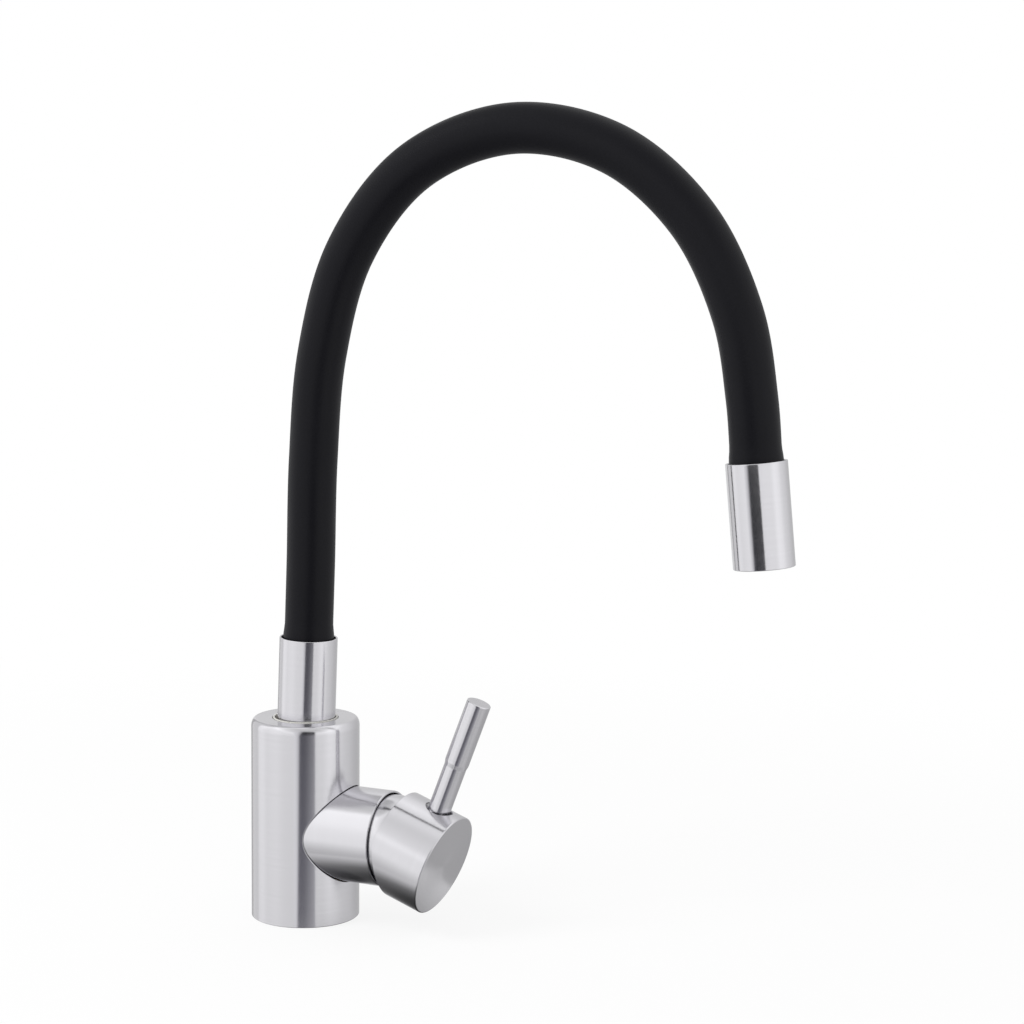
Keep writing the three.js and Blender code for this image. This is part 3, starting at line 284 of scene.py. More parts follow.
def box_loop(turns, heights):
    """Turn and height of every grid point on the outline of a patch, once round, closed."""
    low, high = heights[0], heights[-1]
    right = np.stack([np.full(len(heights), turns[-1]), heights], -1)
    top = np.stack([turns[::-1], np.full(len(turns), high)], -1)
    left = np.stack([np.full(len(heights), turns[0]), heights[::-1]], -1)
    bottom = np.stack([turns, np.full(len(turns), low)], -1)
    return np.concatenate([right[:-1], top[:-1], left[:-1], bottom])


def patch_at(turns, heights, radius, centre, half):
    """The patch of a wall's grid round a centre (turn, height), half columns to each side.

    Gives its outline, the angle of each outline point as seen from the centre, counted from
    the way round the wall to the way up, and its first and last column."""
    at = int(round((centre[0] - turns[0]) / (turns[1] - turns[0])))
    outline = box_loop(turns[at - half:at + half + 1], heights)
    angles = np.arctan2(outline[:, 1] - centre[1], (outline[:, 0] - centre[0]) * radius)
    return outline, angles, (at - half, at + half)


def rings(outline, rim):
    """Rings from an outline to a rim, both as (turn, height) points.

    Ring s is outline + (rim - outline) e(s), where e eases out so that the rings lie closer
    together at the rim."""
    share = np.linspace(0, 1, RIM_RINGS)
    eased = 1 - (1 - share) ** 2
    return outline + (rim - outline) * eased[:, None, None]


# %% The skins of a wall with holes, and the edge of a hole
EDGE_ROWS = 4


def on_drum(flat, radius):
    """Points on a drum round Z from (turn, height): (r cos t, r sin t, h), with their UV."""
    turns, heights = flat[..., 0], flat[..., 1]
    points = np.stack([radius * np.cos(turns), radius * np.sin(turns), heights], -1)
    return points, np.stack([heights, turns * radius], -1)


def pierced(turns, heights, wall, *holes):
    """All grids of one skin: rings round each hole, and the plain wall between the patches.

    A hole is a patch and its rim on this skin. The holes are in the order of their turns."""
    grids, edges = [], [0]
    for (outline, _, columns), rim in holes:
        grids.append(on_drum(rings(outline, rim), wall))
        edges += columns
    edges.append(len(turns) - 1)
    for start, end in zip(edges[::2], edges[1::2]):
        flat = np.stack(np.meshgrid(turns[start:end + 1], heights), -1)
        grids.append(on_drum(flat, wall))
    return grids


def hole_edge(rim_at, hole, outer, inner, way_in):
    """Rows from the outer skin round a hole's edge and in to the inner skin.

    The edge is a quarter circle: at its angle b the hole is hole + e (1 - sin b) wide and lies
    e (1 - cos b) deep along the way in. rim_at gives a rim from the hole's and wall's radius."""
    rows = []
    for b in np.linspace(0, math.pi / 2, EDGE_ROWS):
        rim = rim_at(hole + SMALL_EDGE * (1 - math.sin(b)), outer)
        points, uv = on_drum(rim, outer)
        rows.append((points + way_in * SMALL_EDGE * (1 - math.cos(b)), uv))
    rows.append(on_drum(rim_at(hole, inner), inner))
    return tuple(np.stack(part) for part in zip(*rows))


# %% [markdown]
# ## The body
#
# The body is a turned steel tube with a closed top. Its shoulder is rounded, and the edges of
# its two holes are broken by a fraction of a millimetre. The wall round the branch's hole is
# made of rings, and everything else is plain lathe work. The foot has a thicker rim, which is
# what stands on the counter.

# %% The body's sizes, and the rim of its hole
BODY_RADIUS = 25
BODY_HEIGHT = 93
BODY_SKIN = 24              # inner radius behind the visible wall
FOOT_INNER = 22             # inner radius of the thick rim that stands on the counter
FOOT_RIM, FOOT_SLOPE = 4, 5     # heights where the rim ends, and where the thin wall starts
SHOULDER_INSET = 2.2
SHOULDER_DROP = 3.8
SHOULDER_STEPS = 12
TOP_PLATE = 3.7
NECK_HOLE = 15.2
BRANCH_AXIS = 40.7          # height of the branch's axis
BRANCH_HOLE = 22.15         # the hole for the branch, with its gap
PATCH_COLUMNS = 32          # columns of the patch on each side of +X
PATCH_LOW, PATCH_HIGH, PATCH_ROWS = 8, 72, 17
UPPER_ROW = 80              # one more row of the plain wall above the patch

body_turns = np.linspace(-math.pi, math.pi, COLUMNS + 1)
patch_heights = np.linspace(PATCH_LOW, PATCH_HIGH, PATCH_ROWS)
branch_patch = patch_at(body_turns, patch_heights, BODY_RADIUS, (0, BRANCH_AXIS), PATCH_COLUMNS)


def branch_rim(hole, wall):
    """Rim of a hole along X in a drum round Z, as (turn, height).

    At an angle a the hole has y = hole cos a and z = axis + hole sin a, and y = wall sin t."""
    angles = branch_patch[1]
    return np.stack([np.arcsin(hole * np.cos(angles) / wall),
                     BRANCH_AXIS + hole * np.sin(angles)], -1)


print("the branch's hole has", len(branch_patch[1]), "points round it")

# %% The body


def shoulder():
    """A quarter ellipse from the wall up to the flat top."""
    a = np.linspace(0, math.pi / 2, SHOULDER_STEPS + 1)
    return np.stack([BODY_RADIUS - SHOULDER_INSET * (1 - np.cos(a)),
                     BODY_HEIGHT - SHOULDER_DROP * (1 - np.sin(a))], -1)


under_plate = BODY_HEIGHT - TOP_PLATE
foot = rounded([
    (BODY_SKIN, PATCH_LOW, 0), (BODY_SKIN, FOOT_SLOPE, 0), (FOOT_INNER, FOOT_RIM, 0),
    (FOOT_INNER, 0, SMALL_EDGE), (BODY_RADIUS, 0, SMALL_EDGE), (BODY_RADIUS, FOOT_RIM, 0),
    (BODY_RADIUS, PATCH_LOW, 0),
])
top = np.vstack([
    [(BODY_RADIUS, PATCH_HIGH), (BODY_RADIUS, UPPER_ROW),
     (BODY_RADIUS, BODY_HEIGHT - SHOULDER_DROP - SUPPORT)],
    shoulder(),
    rounded([
        (BODY_RADIUS - SHOULDER_INSET - SUPPORT, BODY_HEIGHT, 0),
        (NECK_HOLE, BODY_HEIGHT, SMALL_EDGE), (NECK_HOLE, under_plate, 0),
        (BODY_SKIN, under_plate, 0), (BODY_SKIN, PATCH_HIGH, 0),
    ]),
])
body = build("body_tube", [
    turned(foot), turned(top),
    hole_edge(branch_rim, BRANCH_HOLE, BODY_RADIUS, BODY_SKIN, np.array([-1, 0, 0])),
    *pierced(body_turns, patch_heights, BODY_RADIUS,
             (branch_patch, branch_rim(BRANCH_HOLE + SMALL_EDGE, BODY_RADIUS))),
    *pierced(body_turns, patch_heights, BODY_SKIN,
             (branch_patch, branch_rim(BRANCH_HOLE, BODY_SKIN))),
], branch_frame)
true_normals(body, branch_frame, BODY_RADIUS, BODY_SKIN)
stand_in(body, "body_shell", "base")

# %% [markdown]
# ## The branch
#
# The branch is a thin tube that stands in the body's hole with a hair of gap, which shows as a
# fine dark line. Its hidden end follows the body's wall, like the saddle that a tube notcher
# cuts. A plain tube would stick into the body there, so its rows run from that curve to the
# straight rim.

# %% The branch
BRANCH_RADIUS = 21.85
BRANCH_INNER = 20.85
BRANCH_RIM = 44.1
BRANCH_EDGE = 0.5           # rounding of the rim's outer edge
SADDLE_WALL = 23.2          # the hidden end lies on a drum of this radius
SADDLE_REACH = 30           # along the branch: from here on its rows are straight
SADDLE_ROWS = 7


def saddle_tube():
    """The grid of the branch round X: both walls start at x = sqrt(saddle^2 - y^2)."""
    turns = np.linspace(-math.pi, math.pi, COLUMNS + 1)
    rim = rounded([
        (BRANCH_RADIUS, SADDLE_REACH, 0), (BRANCH_RADIUS, BRANCH_RIM, BRANCH_EDGE),
        (BRANCH_INNER, BRANCH_RIM, SMALL_EDGE), (BRANCH_INNER, SADDLE_REACH, 0),
    ])
    y, z = np.cos(turns), np.sin(turns)
    rows, along = [], []
    share = np.linspace(0, 1, SADDLE_ROWS + 1)[:-1]

    def side(radius, shares):
        start = np.sqrt(SADDLE_WALL ** 2 - (radius * y) ** 2)
        for part in shares:
            x = start + (SADDLE_REACH - start) * part
            rows.append(np.stack([x, radius * y, BRANCH_AXIS + radius * z], -1))
            along.append(x)

    side(BRANCH_RADIUS, share)
    for radius, x in rim:
        x = np.full_like(y, x)
        rows.append(np.stack([x, radius * y, BRANCH_AXIS + radius * z], -1))
        along.append(x + (BRANCH_RADIUS - radius))
    side(BRANCH_INNER, share[::-1])
    rows.append(rows[0])
    along.append(along[0])
    uv = np.stack(np.broadcast_arrays(np.stack(along), turns * BRANCH_RADIUS), -1)
    return np.stack(rows), uv


branch = build("branch_sleeve", [saddle_tube()], branch_frame)
stand_in(branch, "branch_tube", "base")

# %% [markdown]
# ## Plain turned pieces
#
# The glide ring in the body's top, the neck and the nozzle are each one profile turned once
# round. A tube with a Bevel modifier would do too, but a profile says where each edge is.

# %% The glide ring, the neck and the nozzle
GLIDE_GAP, GLIDE_WALL = 0.3, 0.7
GLIDE_DEPTH, GLIDE_PROUD = 5.2, 0.3     # below and above the body's top
GLIDE_EDGE, GLIDE_TOP_EDGE = 0.1, 0.15
NECK_RADIUS = 13.36
NECK_INNER = 12.56
NECK_START, NECK_END = 12.9, 52.5       # on its own axis
NOZZLE_RADIUS = 13.3
NOZZLE_INNER = 12.5
NOZZLE_LENGTH = 45.2


def close_up(profile):
    """The same profile, ending where it starts."""
    return np.vstack([profile, profile[:1]])


def turned_piece(name, corners, frame_matrix, cad_node, body_name):
    """A piece turned from rounded corners, in place of a CAD node."""
    piece = build(name, [turned(close_up(rounded(corners)))], frame_matrix)
    return stand_in(piece, cad_node, body_name)


def tube(radius, inner, low, high, edge):
    """Corners of a tube, with all four edges rounded."""
    return [(inner, low, edge), (radius, low, edge), (radius, high, edge), (inner, high, edge)]


glide_outer = NECK_HOLE - GLIDE_GAP
glide_inner = glide_outer - GLIDE_WALL
glide_low, glide_high = BODY_HEIGHT - GLIDE_DEPTH, BODY_HEIGHT + GLIDE_PROUD

glide_ring = turned_piece(
    "glide_ring_top", [
        (glide_inner, glide_low, GLIDE_EDGE), (glide_outer, glide_low, GLIDE_EDGE),
        (glide_outer, glide_high, GLIDE_TOP_EDGE), (glide_inner, glide_high, GLIDE_TOP_EDGE),
    ], UPRIGHT, "glide_ring", "base")
neck = turned_piece(
    "neck_tube", tube(NECK_RADIUS, NECK_INNER, NECK_START, NECK_END, SMALL_EDGE),
    neck_frame, "neck_sleeve", "spout")
nozzle = turned_piece(
    "nozzle_tube", tube(NOZZLE_RADIUS, NOZZLE_INNER, -NOZZLE_LENGTH, 0, SMALL_EDGE),
    nozzle_frame, "nozzle_shell", "nozzle")

# %% [markdown]
# ## The domed cap
#
# A cap closes the branch behind the handle. It is part of a ball round the handle's pivot pin,
# so that the handle can tilt over it with an even gap. A cut sphere would need its wall and
# its rim added, and a profile of two arcs has both.

# %% The cap
DOME_RADIUS = 20.3
DOME_WALL = 1.6
DOME_OPENING = 54           # degrees, half the angle of its hole
DOME_STEPS = 24
SKIRT_LENGTH = 4.5          # of the cap's straight rim inside the branch
SKIRT_INNER = 19.3


def dome_profile():
    """Two concentric arcs round the pin, from the cap's rim to its opening and back.

    At an angle a from the rim, an arc of radius r has the point (r cos a, r sin a)."""
    a = np.linspace(0, math.radians(90 - DOME_OPENING), DOME_STEPS)
    inner = DOME_RADIUS - DOME_WALL
    outside = np.stack([DOME_RADIUS * np.cos(a), DOME_RADIUS * np.sin(a)], -1)
    inside = np.stack([inner * np.cos(a), inner * np.sin(a)], -1)[::-1]
    rim = BRANCH_RIM - PIN[0]
    skirt = rim - SKIRT_LENGTH
    return np.vstack([[(SKIRT_INNER, skirt), (DOME_RADIUS, skirt)], outside, inside,
                      [(inner, rim), (SKIRT_INNER, rim)]])


cap = build("dome", [turned(close_up(dome_profile()))], branch_frame @ place(*PIN) @ ALONG_X)
stand_in(cap, "dome_cap", "base")

# %% [markdown]
# ## The handle's head
#
# The head is a thin drum with a flat front. The lever goes through a hole in its upper side,
# and a small hole below gives a key access to the clamp screw. Both holes get rings, as the
# body's does. The drum's axis is X, so its wall is worked out round Z first and then laid along
# X: height is the way along the head, and its top is at the turn of pi.

# %% The head's sizes, and the rims of its two holes
HEAD_RADIUS = 23.6
HEAD_INNER = 22.8
HEAD_REAR = 0.5
HEAD_FRONT = 27.9
HEAD_FRONT_INNER = 24.9
HEAD_EDGE = 0.6
HEAD_COLUMNS = 180
BAND_LOW, BAND_HIGH, BAND_ROWS = 4, 24.4, 15    # the stretch of wall with both holes
LEVER_PLACE = 16.2          # along the head
LEVER_LEAN = -1.2           # degrees towards the branch, so it leans a little away
LEVER_HOLE = 6.55
LEVER_COLUMNS = 13          # of its patch, to each side
CLAMP_PLACE = 21
CLAMP_HOLE = 2.6
CLAMP_COLUMNS = 6

# The turns start at the side, so that both holes lie inside the range, away from its seam
head_turns = np.linspace(-math.pi / 2, 1.5 * math.pi, HEAD_COLUMNS + 1)
band = np.linspace(BAND_LOW, BAND_HIGH, BAND_ROWS)
lean = math.radians(LEVER_LEAN)

lever_foot = LEVER_PLACE - HEAD_RADIUS * math.sin(lean)     # where it meets the outer skin
lever_patch = patch_at(head_turns, band, HEAD_RADIUS, (math.pi, lever_foot), LEVER_COLUMNS)
clamp_patch = patch_at(head_turns, band, HEAD_RADIUS, (0, CLAMP_PLACE), CLAMP_COLUMNS)


def lever_rim(hole, wall):
    """Where a leaning round hole meets the head's wall, as (turn, way along).

    A hole of radius q round the lever's line has, at the angle a, y = q cos a. With
    z = sqrt(wall^2 - y^2) the line's own distance there is d = (z - q sin a sin lean) / cos lean,
    and x = place - d sin lean + q sin a cos lean. The turn counts from the top, at pi."""
    angles = lever_patch[1]
    y = hole * np.cos(angles)
    z = np.sqrt(wall ** 2 - y ** 2)
    d = (z - hole * np.sin(angles) * math.sin(lean)) / math.cos(lean)
    x = LEVER_PLACE - d * math.sin(lean) + hole * np.sin(angles) * math.cos(lean)
    return np.stack([math.pi + np.arctan2(y, z), x], -1)


def clamp_rim(hole, wall):
    """Where the upright round hole below meets the wall, as (turn, way along)."""
    angles = clamp_patch[1]
    return np.stack([np.arcsin(hole * np.cos(angles) / wall),
                     CLAMP_PLACE + hole * np.sin(angles)], -1)


# patch, rim, radius, and the way in as on the lathe
HOLES = [
    (clamp_patch, clamp_rim, CLAMP_HOLE, np.array([-1, 0, 0])),
    (lever_patch, lever_rim, LEVER_HOLE, np.array([math.cos(lean), 0, math.sin(lean)])),
]
print("the lever leaves the head", round(lever_foot, 2), "mm along it")

# %% [markdown]
# ## The head's slanted rear edge
#
# Only the upper part of the rear edge is square to the head. Below it the edge slants towards
# the front, which gives the branch room when the handle is lifted. The rings and grids would
# not fit a slanted cut, so the finished grids are pulled along the head instead.

# %% The slant, and the skins that it pulls
HEAD_SLANT = 21.3           # degrees that the rear edge's lower part leans from the branch
HEAD_SLANT_TOP = 2.85       # where that starts, above the head's axis
SLANT_FLAT, SLANT_END = 3, 16       # along the head: moved whole up to one, not past the other


def head_skin(wall, widen):
    """One skin of the band, with its holes wider by their rounded edge."""
    return pierced(head_turns, band, wall, *[
        (patch, rim_at(radius + widen, wall)) for patch, rim_at, radius, _ in HOLES])


def slanted(grid):
    """The same grid, with the lower part of the rear edge leaning towards the front.

    A point below the slant's top moves along the head by tan(slant) times how far below it is,
    and by less of that the nearer it lies to SLANT_END. Its U moves as much."""
    points, uv = grid
    below = np.maximum(HEAD_SLANT_TOP + points[..., 0], 0)
    share = np.clip((SLANT_END - points[..., 2]) / (SLANT_END - SLANT_FLAT), 0, 1)
    shift = math.tan(math.radians(HEAD_SLANT)) * below * share
    return (points + np.stack([0 * shift, 0 * shift, shift], -1),
            uv + np.stack([shift, 0 * shift], -1))


slant_depth = math.tan(math.radians(HEAD_SLANT)) * (HEAD_RADIUS + HEAD_SLANT_TOP)
print("the rear edge is", round(slant_depth, 1), "mm farther forward at the bottom")

# %% The head
head_rear = rounded([
    (HEAD_INNER, BAND_LOW, 0), (HEAD_INNER, HEAD_REAR, SMALL_EDGE),
    (HEAD_RADIUS, HEAD_REAR, SMALL_EDGE), (HEAD_RADIUS, BAND_LOW, 0),
])
head_front = rounded([
    (HEAD_RADIUS, BAND_HIGH, 0), (HEAD_RADIUS, HEAD_FRONT, HEAD_EDGE), (0, HEAD_FRONT, 0),
])
head_inside = np.array([(0, HEAD_FRONT_INNER), (HEAD_INNER, HEAD_FRONT_INNER),
                        (HEAD_INNER, BAND_HIGH)], float)
first_turn = head_turns[0]
head_grids = [
    turned(head_rear, HEAD_COLUMNS, first_turn), turned(head_front, HEAD_COLUMNS, first_turn),
    turned(head_inside, HEAD_COLUMNS, first_turn),
    *head_skin(HEAD_RADIUS, SMALL_EDGE), *head_skin(HEAD_INNER, 0),
    *[hole_edge(rim_at, radius, HEAD_RADIUS, HEAD_INNER, way_in)
      for _, rim_at, radius, way_in in HOLES],
]
head = build("handle_drum", [slanted(grid) for grid in head_grids], handle_frame @ ALONG_X)
true_normals(head, handle_frame @ ALONG_X, HEAD_RADIUS, HEAD_INNER)
stand_in(head, "handle_head", "handle")

# %% [markdown]
# ## The lever
#
# The lever is a rod with one short conical step and a flat top, bored for its threaded stud.
# It is turned like the neck, with its own axis leaning a little in the head.

# %% The lever
LEVER_LOWER, LEVER_UPPER = 5.2, 5.6     # radius below and above the step
LEVER_START, STEP_START, STEP_END, LEVER_END = 18.5, 45, 47, 76.7   # from the head's axis
LEVER_EDGE = 0.5
STEP_EDGE = 0.35
STUD_HOLE = 3.1
STUD_DEPTH = 27.3           # where the stud's hole ends

lever_frame = handle_frame @ place(LEVER_PLACE, 0, 0) @ turn("Y", -LEVER_LEAN)
lever = turned_piece("lever", [
    (STUD_HOLE, LEVER_START, 0), (LEVER_LOWER, LEVER_START, LEVER_EDGE),
    (LEVER_LOWER, STEP_START, STEP_EDGE), (LEVER_UPPER, STEP_END, STEP_EDGE),
    (LEVER_UPPER, LEVER_END, LEVER_EDGE), (0, LEVER_END, 0), (0, STUD_DEPTH, 0),
    (STUD_HOLE, STUD_DEPTH, 0),
], lever_frame, "lever_rod", "handle")

# %% [markdown]
# ## The aerator
#
# The nozzle ends in an aerator: a brass ring that screws in from below, and a woven wire screen
# over the plastic insert. A bump pattern could stand for the screen, but it is seen close up
# when someone looks into the outlet, so it is real weaving: each wire is a thin tube that
# passes over and under the crossing ones.

# %% The aerator's ring
AERATOR_RADIUS, AERATOR_BORE = 12.2, 10.95
AERATOR_BOTTOM, AERATOR_TOP, AERATOR_SEAT = -44.5, -24.6, -32.6     # on the nozzle's axis
AERATOR_SEAT_RADIUS = 7
BORE_EDGE, FOOT_EDGE, TOP_EDGE = 0.2, 0.35, 0.3

aerator = turned_piece("aerator_ring", [
    (AERATOR_BORE, AERATOR_BOTTOM, BORE_EDGE), (AERATOR_RADIUS, AERATOR_BOTTOM, FOOT_EDGE),
    (AERATOR_RADIUS, AERATOR_TOP, TOP_EDGE), (AERATOR_SEAT_RADIUS, AERATOR_TOP, 0),
    (AERATOR_SEAT_RADIUS, AERATOR_SEAT, 0), (AERATOR_BORE, AERATOR_SEAT, 0),
], nozzle_frame, "aerator_housing", "nozzle")

# %% The woven screen
SCREEN_RADIUS, SCREEN_RIM = 10.65, 0.8
SCREEN_THICK = 1
SCREEN_EDGE = 0.2
WIRE_RADIUS, WIRE_PITCH = 0.17, 1.1
WIRE_SIDES, WIRE_STEPS = 6, 96


def wire(offset, phase, along_y):
    """One wire of the weave, closed to a point at both ends.

    Its centre line is (s, offset, w cos(pi s / pitch + phase)), as far as the rim lets it go,
    with w the wire's radius, and its section is a circle square to that line."""
    half = math.sqrt((SCREEN_RADIUS - SCREEN_RIM / 2) ** 2 - offset ** 2)
    s = np.linspace(-half, half, WIRE_STEPS)[:, None]
    t = np.linspace(0, 2 * math.pi, WIRE_SIDES + 1)[None, :]
    thick = np.full_like(s, WIRE_RADIUS)
    thick[[0, -1]] = 0
    wave = math.pi * s / WIRE_PITCH + phase
    slope = np.arctan(-WIRE_RADIUS * math.pi / WIRE_PITCH * np.sin(wave))
    x = s - thick * np.sin(t) * np.sin(slope)
    y = offset + thick * np.cos(t)
    z = WIRE_RADIUS * np.cos(wave) + thick * np.sin(t) * np.cos(slope)
    x, y, z = np.broadcast_arrays(x, y, z + AERATOR_BOTTOM + SCREEN_THICK / 2)
    points = np.stack([y, x, z] if along_y else [x, y, z], -1)
    return points, np.stack(np.broadcast_arrays(s, t * WIRE_RADIUS), -1)


def woven_screen():
    """All wires, in two crossing sets whose waves are half a turn apart."""
    count = int((SCREEN_RADIUS - SCREEN_RIM) / WIRE_PITCH)
    wires = []
    for j in range(-count, count + 1):
        wires += [wire(j * WIRE_PITCH, math.pi * j, False),
                  wire(j * WIRE_PITCH, math.pi * (j + 1), True)]
    return wires


screen_top = AERATOR_BOTTOM + SCREEN_THICK
screen_rim = turned(close_up(rounded(tube(
    SCREEN_RADIUS, SCREEN_RADIUS - SCREEN_RIM, AERATOR_BOTTOM, screen_top, SCREEN_EDGE))))
screen = build("woven_outlet_screen", [screen_rim, *woven_screen()], nozzle_frame)
stand_in(screen, "outlet_screen", "nozzle")

# %% [markdown]
# ## The hose
#
# The hose is one smooth silicone tube that stays where it is put. Its centre line is a smooth
# curve through the same places as in the CAD source. A curve object with a round bevel would
# draw it, but the model bends at seven joints, and a stretch of hose that crosses a joint has
# to follow both bodies. So the tube is made in seven stretches, each centred on one joint, which
# meet halfway between two joints.

# %% The centre line
HOSE_FOOT = 27.3            # where the hose starts on the neck's axis
HOSE_SEAT = 12              # how deep it sits in the nozzle
ROUTE_LEAD = 5              # the curve runs on past both ends by this
ARCH_HEIGHT = 360.7         # the centre line's highest point
# Shares of the reach from the neck to the nozzle, and of the height from the rim to the top
RISE_SHARES = [
    (0.013, 0.15), (0.019, 0.358), (0.04, 0.567), (0.106, 0.767), (0.251, 0.928), (0.466, 1),
]
FALL_SHARES = [(0.686, 0.938), (0.856, 0.729), (0.954, 0.446), (0.988, 0.19)]
SAMPLES = 120               # points of the curve for each stretch between two places


def spline(places):
    """A centripetal Catmull-Rom curve through the places, sampled finely.

    Each stretch is a Hermite curve whose tangents weigh the neighbours by the square root of
    their distances."""
    places = np.array(places, float)
    ends = np.vstack([2 * places[0] - places[1], places, 2 * places[-1] - places[-2]])
    p0, p1, p2, p3 = ends[:-3], ends[1:-2], ends[2:-1], ends[3:]
    d0, d1, d2 = (np.linalg.norm(b - a, axis=1)[:, None] ** 0.5
                  for a, b in ((p0, p1), (p1, p2), (p2, p3)))
    m1 = ((p1 - p0) / d0 - (p2 - p0) / (d0 + d1) + (p2 - p1) / d1) * d1
    m2 = ((p2 - p1) / d1 - (p3 - p1) / (d1 + d2) + (p3 - p2) / d2) * d1
    t = np.linspace(0, 1, SAMPLES, endpoint=False)[:, None, None]
    curve = ((2 * t ** 3 - 3 * t ** 2 + 1) * p1 + (t ** 3 - 2 * t ** 2 + t) * m1
             + (3 * t ** 2 - 2 * t ** 3) * p2 + (t ** 3 - t ** 2) * m2)
    return np.vstack([curve.transpose(1, 0, 2).reshape(-1, places.shape[1]), places[-1:]])


def in_frame(frame_matrix, distance):
    """A point on a frame's own Z axis, in millimetres."""
    return np.array(frame_matrix @ Vector((0, 0, distance * MM))) / MM


neck_rim = in_frame(neck_frame, NECK_END)
reach = NOZZLE_RIM[0]
rise = [(x * reach, 0, neck_rim[2] + z * (ARCH_HEIGHT - neck_rim[2])) for x, z in RISE_SHARES]
fall = [(x * reach, 0, NOZZLE_RIM[2] + z * (ARCH_HEIGHT - NOZZLE_RIM[2])) for x, z in FALL_SHARES]
line = spline([
    in_frame(neck_frame, HOSE_FOOT - ROUTE_LEAD), in_frame(neck_frame, HOSE_FOOT), neck_rim,
    *rise, *fall, NOZZLE_RIM, in_frame(nozzle_frame, -HOSE_SEAT),
    in_frame(nozzle_frame, -HOSE_SEAT - ROUTE_LEAD),
])
line_way = np.concatenate([[0], np.cumsum(np.linalg.norm(np.diff(line, axis=0), axis=1))])
bends = [j for j in frame["joints"] if j["name"].startswith("hose_bend")]
bend_places = np.array([j["pos_m"] for j in bends]) / MM


def way_to(target):
    """How far along the curve its nearest point to a target lies."""
    return line_way[np.argmin(np.linalg.norm(line - target, axis=1))]


bend_ways = [way_to(bend_place) for bend_place in bend_places]
print("hose's curve:", round(line_way[-1], 2), "mm, bends at", np.round(bend_ways, 1))

# %% Places on the curve, and the hose's radius there
HOSE_RADIUS = 11.1
HOSE_FLARE = 11.7           # radius at the metal rims
HOSE_FLARE_LENGTH = 7
TANGENT_REACH = 1           # millimetres on each side of a place that its direction comes from
neck_rim_way, nozzle_rim_way = way_to(neck_rim), way_to(NOZZLE_RIM)


def at_way(way):
    """Centre and unit tangent of the curve at distances along it."""
    behind, centre, ahead = (
        np.stack([np.interp(way + shift, line_way, line[:, i]) for i in range(3)], -1)
        for shift in (-TANGENT_REACH, 0, TANGENT_REACH))
    tangent = ahead - behind
    return centre, tangent / np.linalg.norm(tangent, axis=1)[:, None]


def hose_radius(way):
    """Radius of the hose: a little thicker just outside the two metal rims.

    The flare is a half cosine over its length, and inside the sleeves the hose is plain."""
    outside = np.minimum(way - neck_rim_way, nozzle_rim_way - way)
    share = np.clip(outside / HOSE_FLARE_LENGTH, 0, 1)
    return HOSE_RADIUS + (HOSE_FLARE - HOSE_RADIUS) * (1 + np.cos(math.pi * share)) / 2


print("hose between its rims:", round(nozzle_rim_way - neck_rim_way, 1), "mm")

# %% The stretches of hose
HOSE_BORE = 9.3
HOSE_SIDES = 64
HOSE_ROW = 2.4              # millimetres along the hose from one ring to the next


def stretch(start, end):
    """A closed stretch of hose: its outer wall, one end, its bore and the other end.

    A ring at the distance s is centre(s) + r(s) (side cos t + up sin t), where side is Y and
    up is square to both Y and the tangent."""
    rows = max(int(round((end - start) / HOSE_ROW)), 2)
    way = np.linspace(start, end, rows + 1)
    ways = np.concatenate([way, way[::-1], way[:1]])
    bore = np.full(len(way), float(HOSE_BORE))
    radii = np.concatenate([hose_radius(way), bore, hose_radius(way[:1])])
    centre, tangent = at_way(ways)
    side = np.array([0, 1, 0])
    up = np.cross(tangent, side)
    turns = np.linspace(-math.pi, math.pi, HOSE_SIDES + 1)
    points = centre[:, None] + radii[:, None, None] * (
        side * np.cos(turns)[None, :, None] + up[:, None] * np.sin(turns)[None, :, None])
    uv = np.stack(np.broadcast_arrays(ways[:, None], turns * HOSE_RADIUS), -1)
    return points, uv


between = [(a + b) / 2 for a, b in zip(bend_ways, bend_ways[1:])]
cuts = [ROUTE_LEAD, *between, line_way[-1] - ROUTE_LEAD]
hose = []
for i, (start, end) in enumerate(zip(cuts, cuts[1:])):
    piece = build(f"hose_{i + 1}_smooth", [stretch(start, end)])
    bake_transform(piece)
    last_stub = ["hose_sleeve_8"] if i == len(bend_ways) - 1 else []
    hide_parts(f"hose_sleeve_{i + 1}", *last_stub)
    hose.append(piece)

# %% [markdown]
# ## Finishes
#
# No real surface is quite even. Each finish here has noise of a real size in its tone, its
# height and its roughness, where a plain Principled shader would look like plastic. One small
# function turns a hex colour to the linear values that a shader reads, one adds a node with
# its settings and links, and one ties the noise to the shader. Blender's noise lies mostly
# between 0.3 and 0.7, so the Map Range nodes spread that range.

# %% Helpers for finishes
NOISE_LOW, NOISE_HIGH = 0.3, 0.7


def linear(hex_colour):
    """Linear RGBA of an sRGB hex colour, by the standard's own curve."""
    parts = [int(hex_colour[i:i + 2], 16) / 255 for i in (1, 3, 5)]
    return (*[c / 12.92 if c <= 0.04045 else ((c + 0.055) / 1.055) ** 2.4 for c in parts], 1)


def add(tree, kind, settings=None, **inputs):
    """Adds a node. Settings are its own values, and inputs are sockets: a value or a link.

    A socket's name is written with _ for a space; a name such as in_1 means input number 1."""
    node = tree.nodes.new(kind)
    for key, value in (settings or {}).items():
        setattr(node, key, value)
    for key, value in inputs.items():
        name = int(key[3:]) if key.startswith("in_") else key.replace("_", " ")
        socket = node.inputs[name]
        if isinstance(value, bpy.types.NodeSocket):
            tree.links.new(value, socket)
        else:
            socket.default_value = value
    return node


def new_finish(name):
    """A new material, and its empty node tree."""
    material = bpy.data.materials.new(name)
    material.use_nodes = True
    tree = material.node_tree
    tree.nodes.clear()
    return material, tree


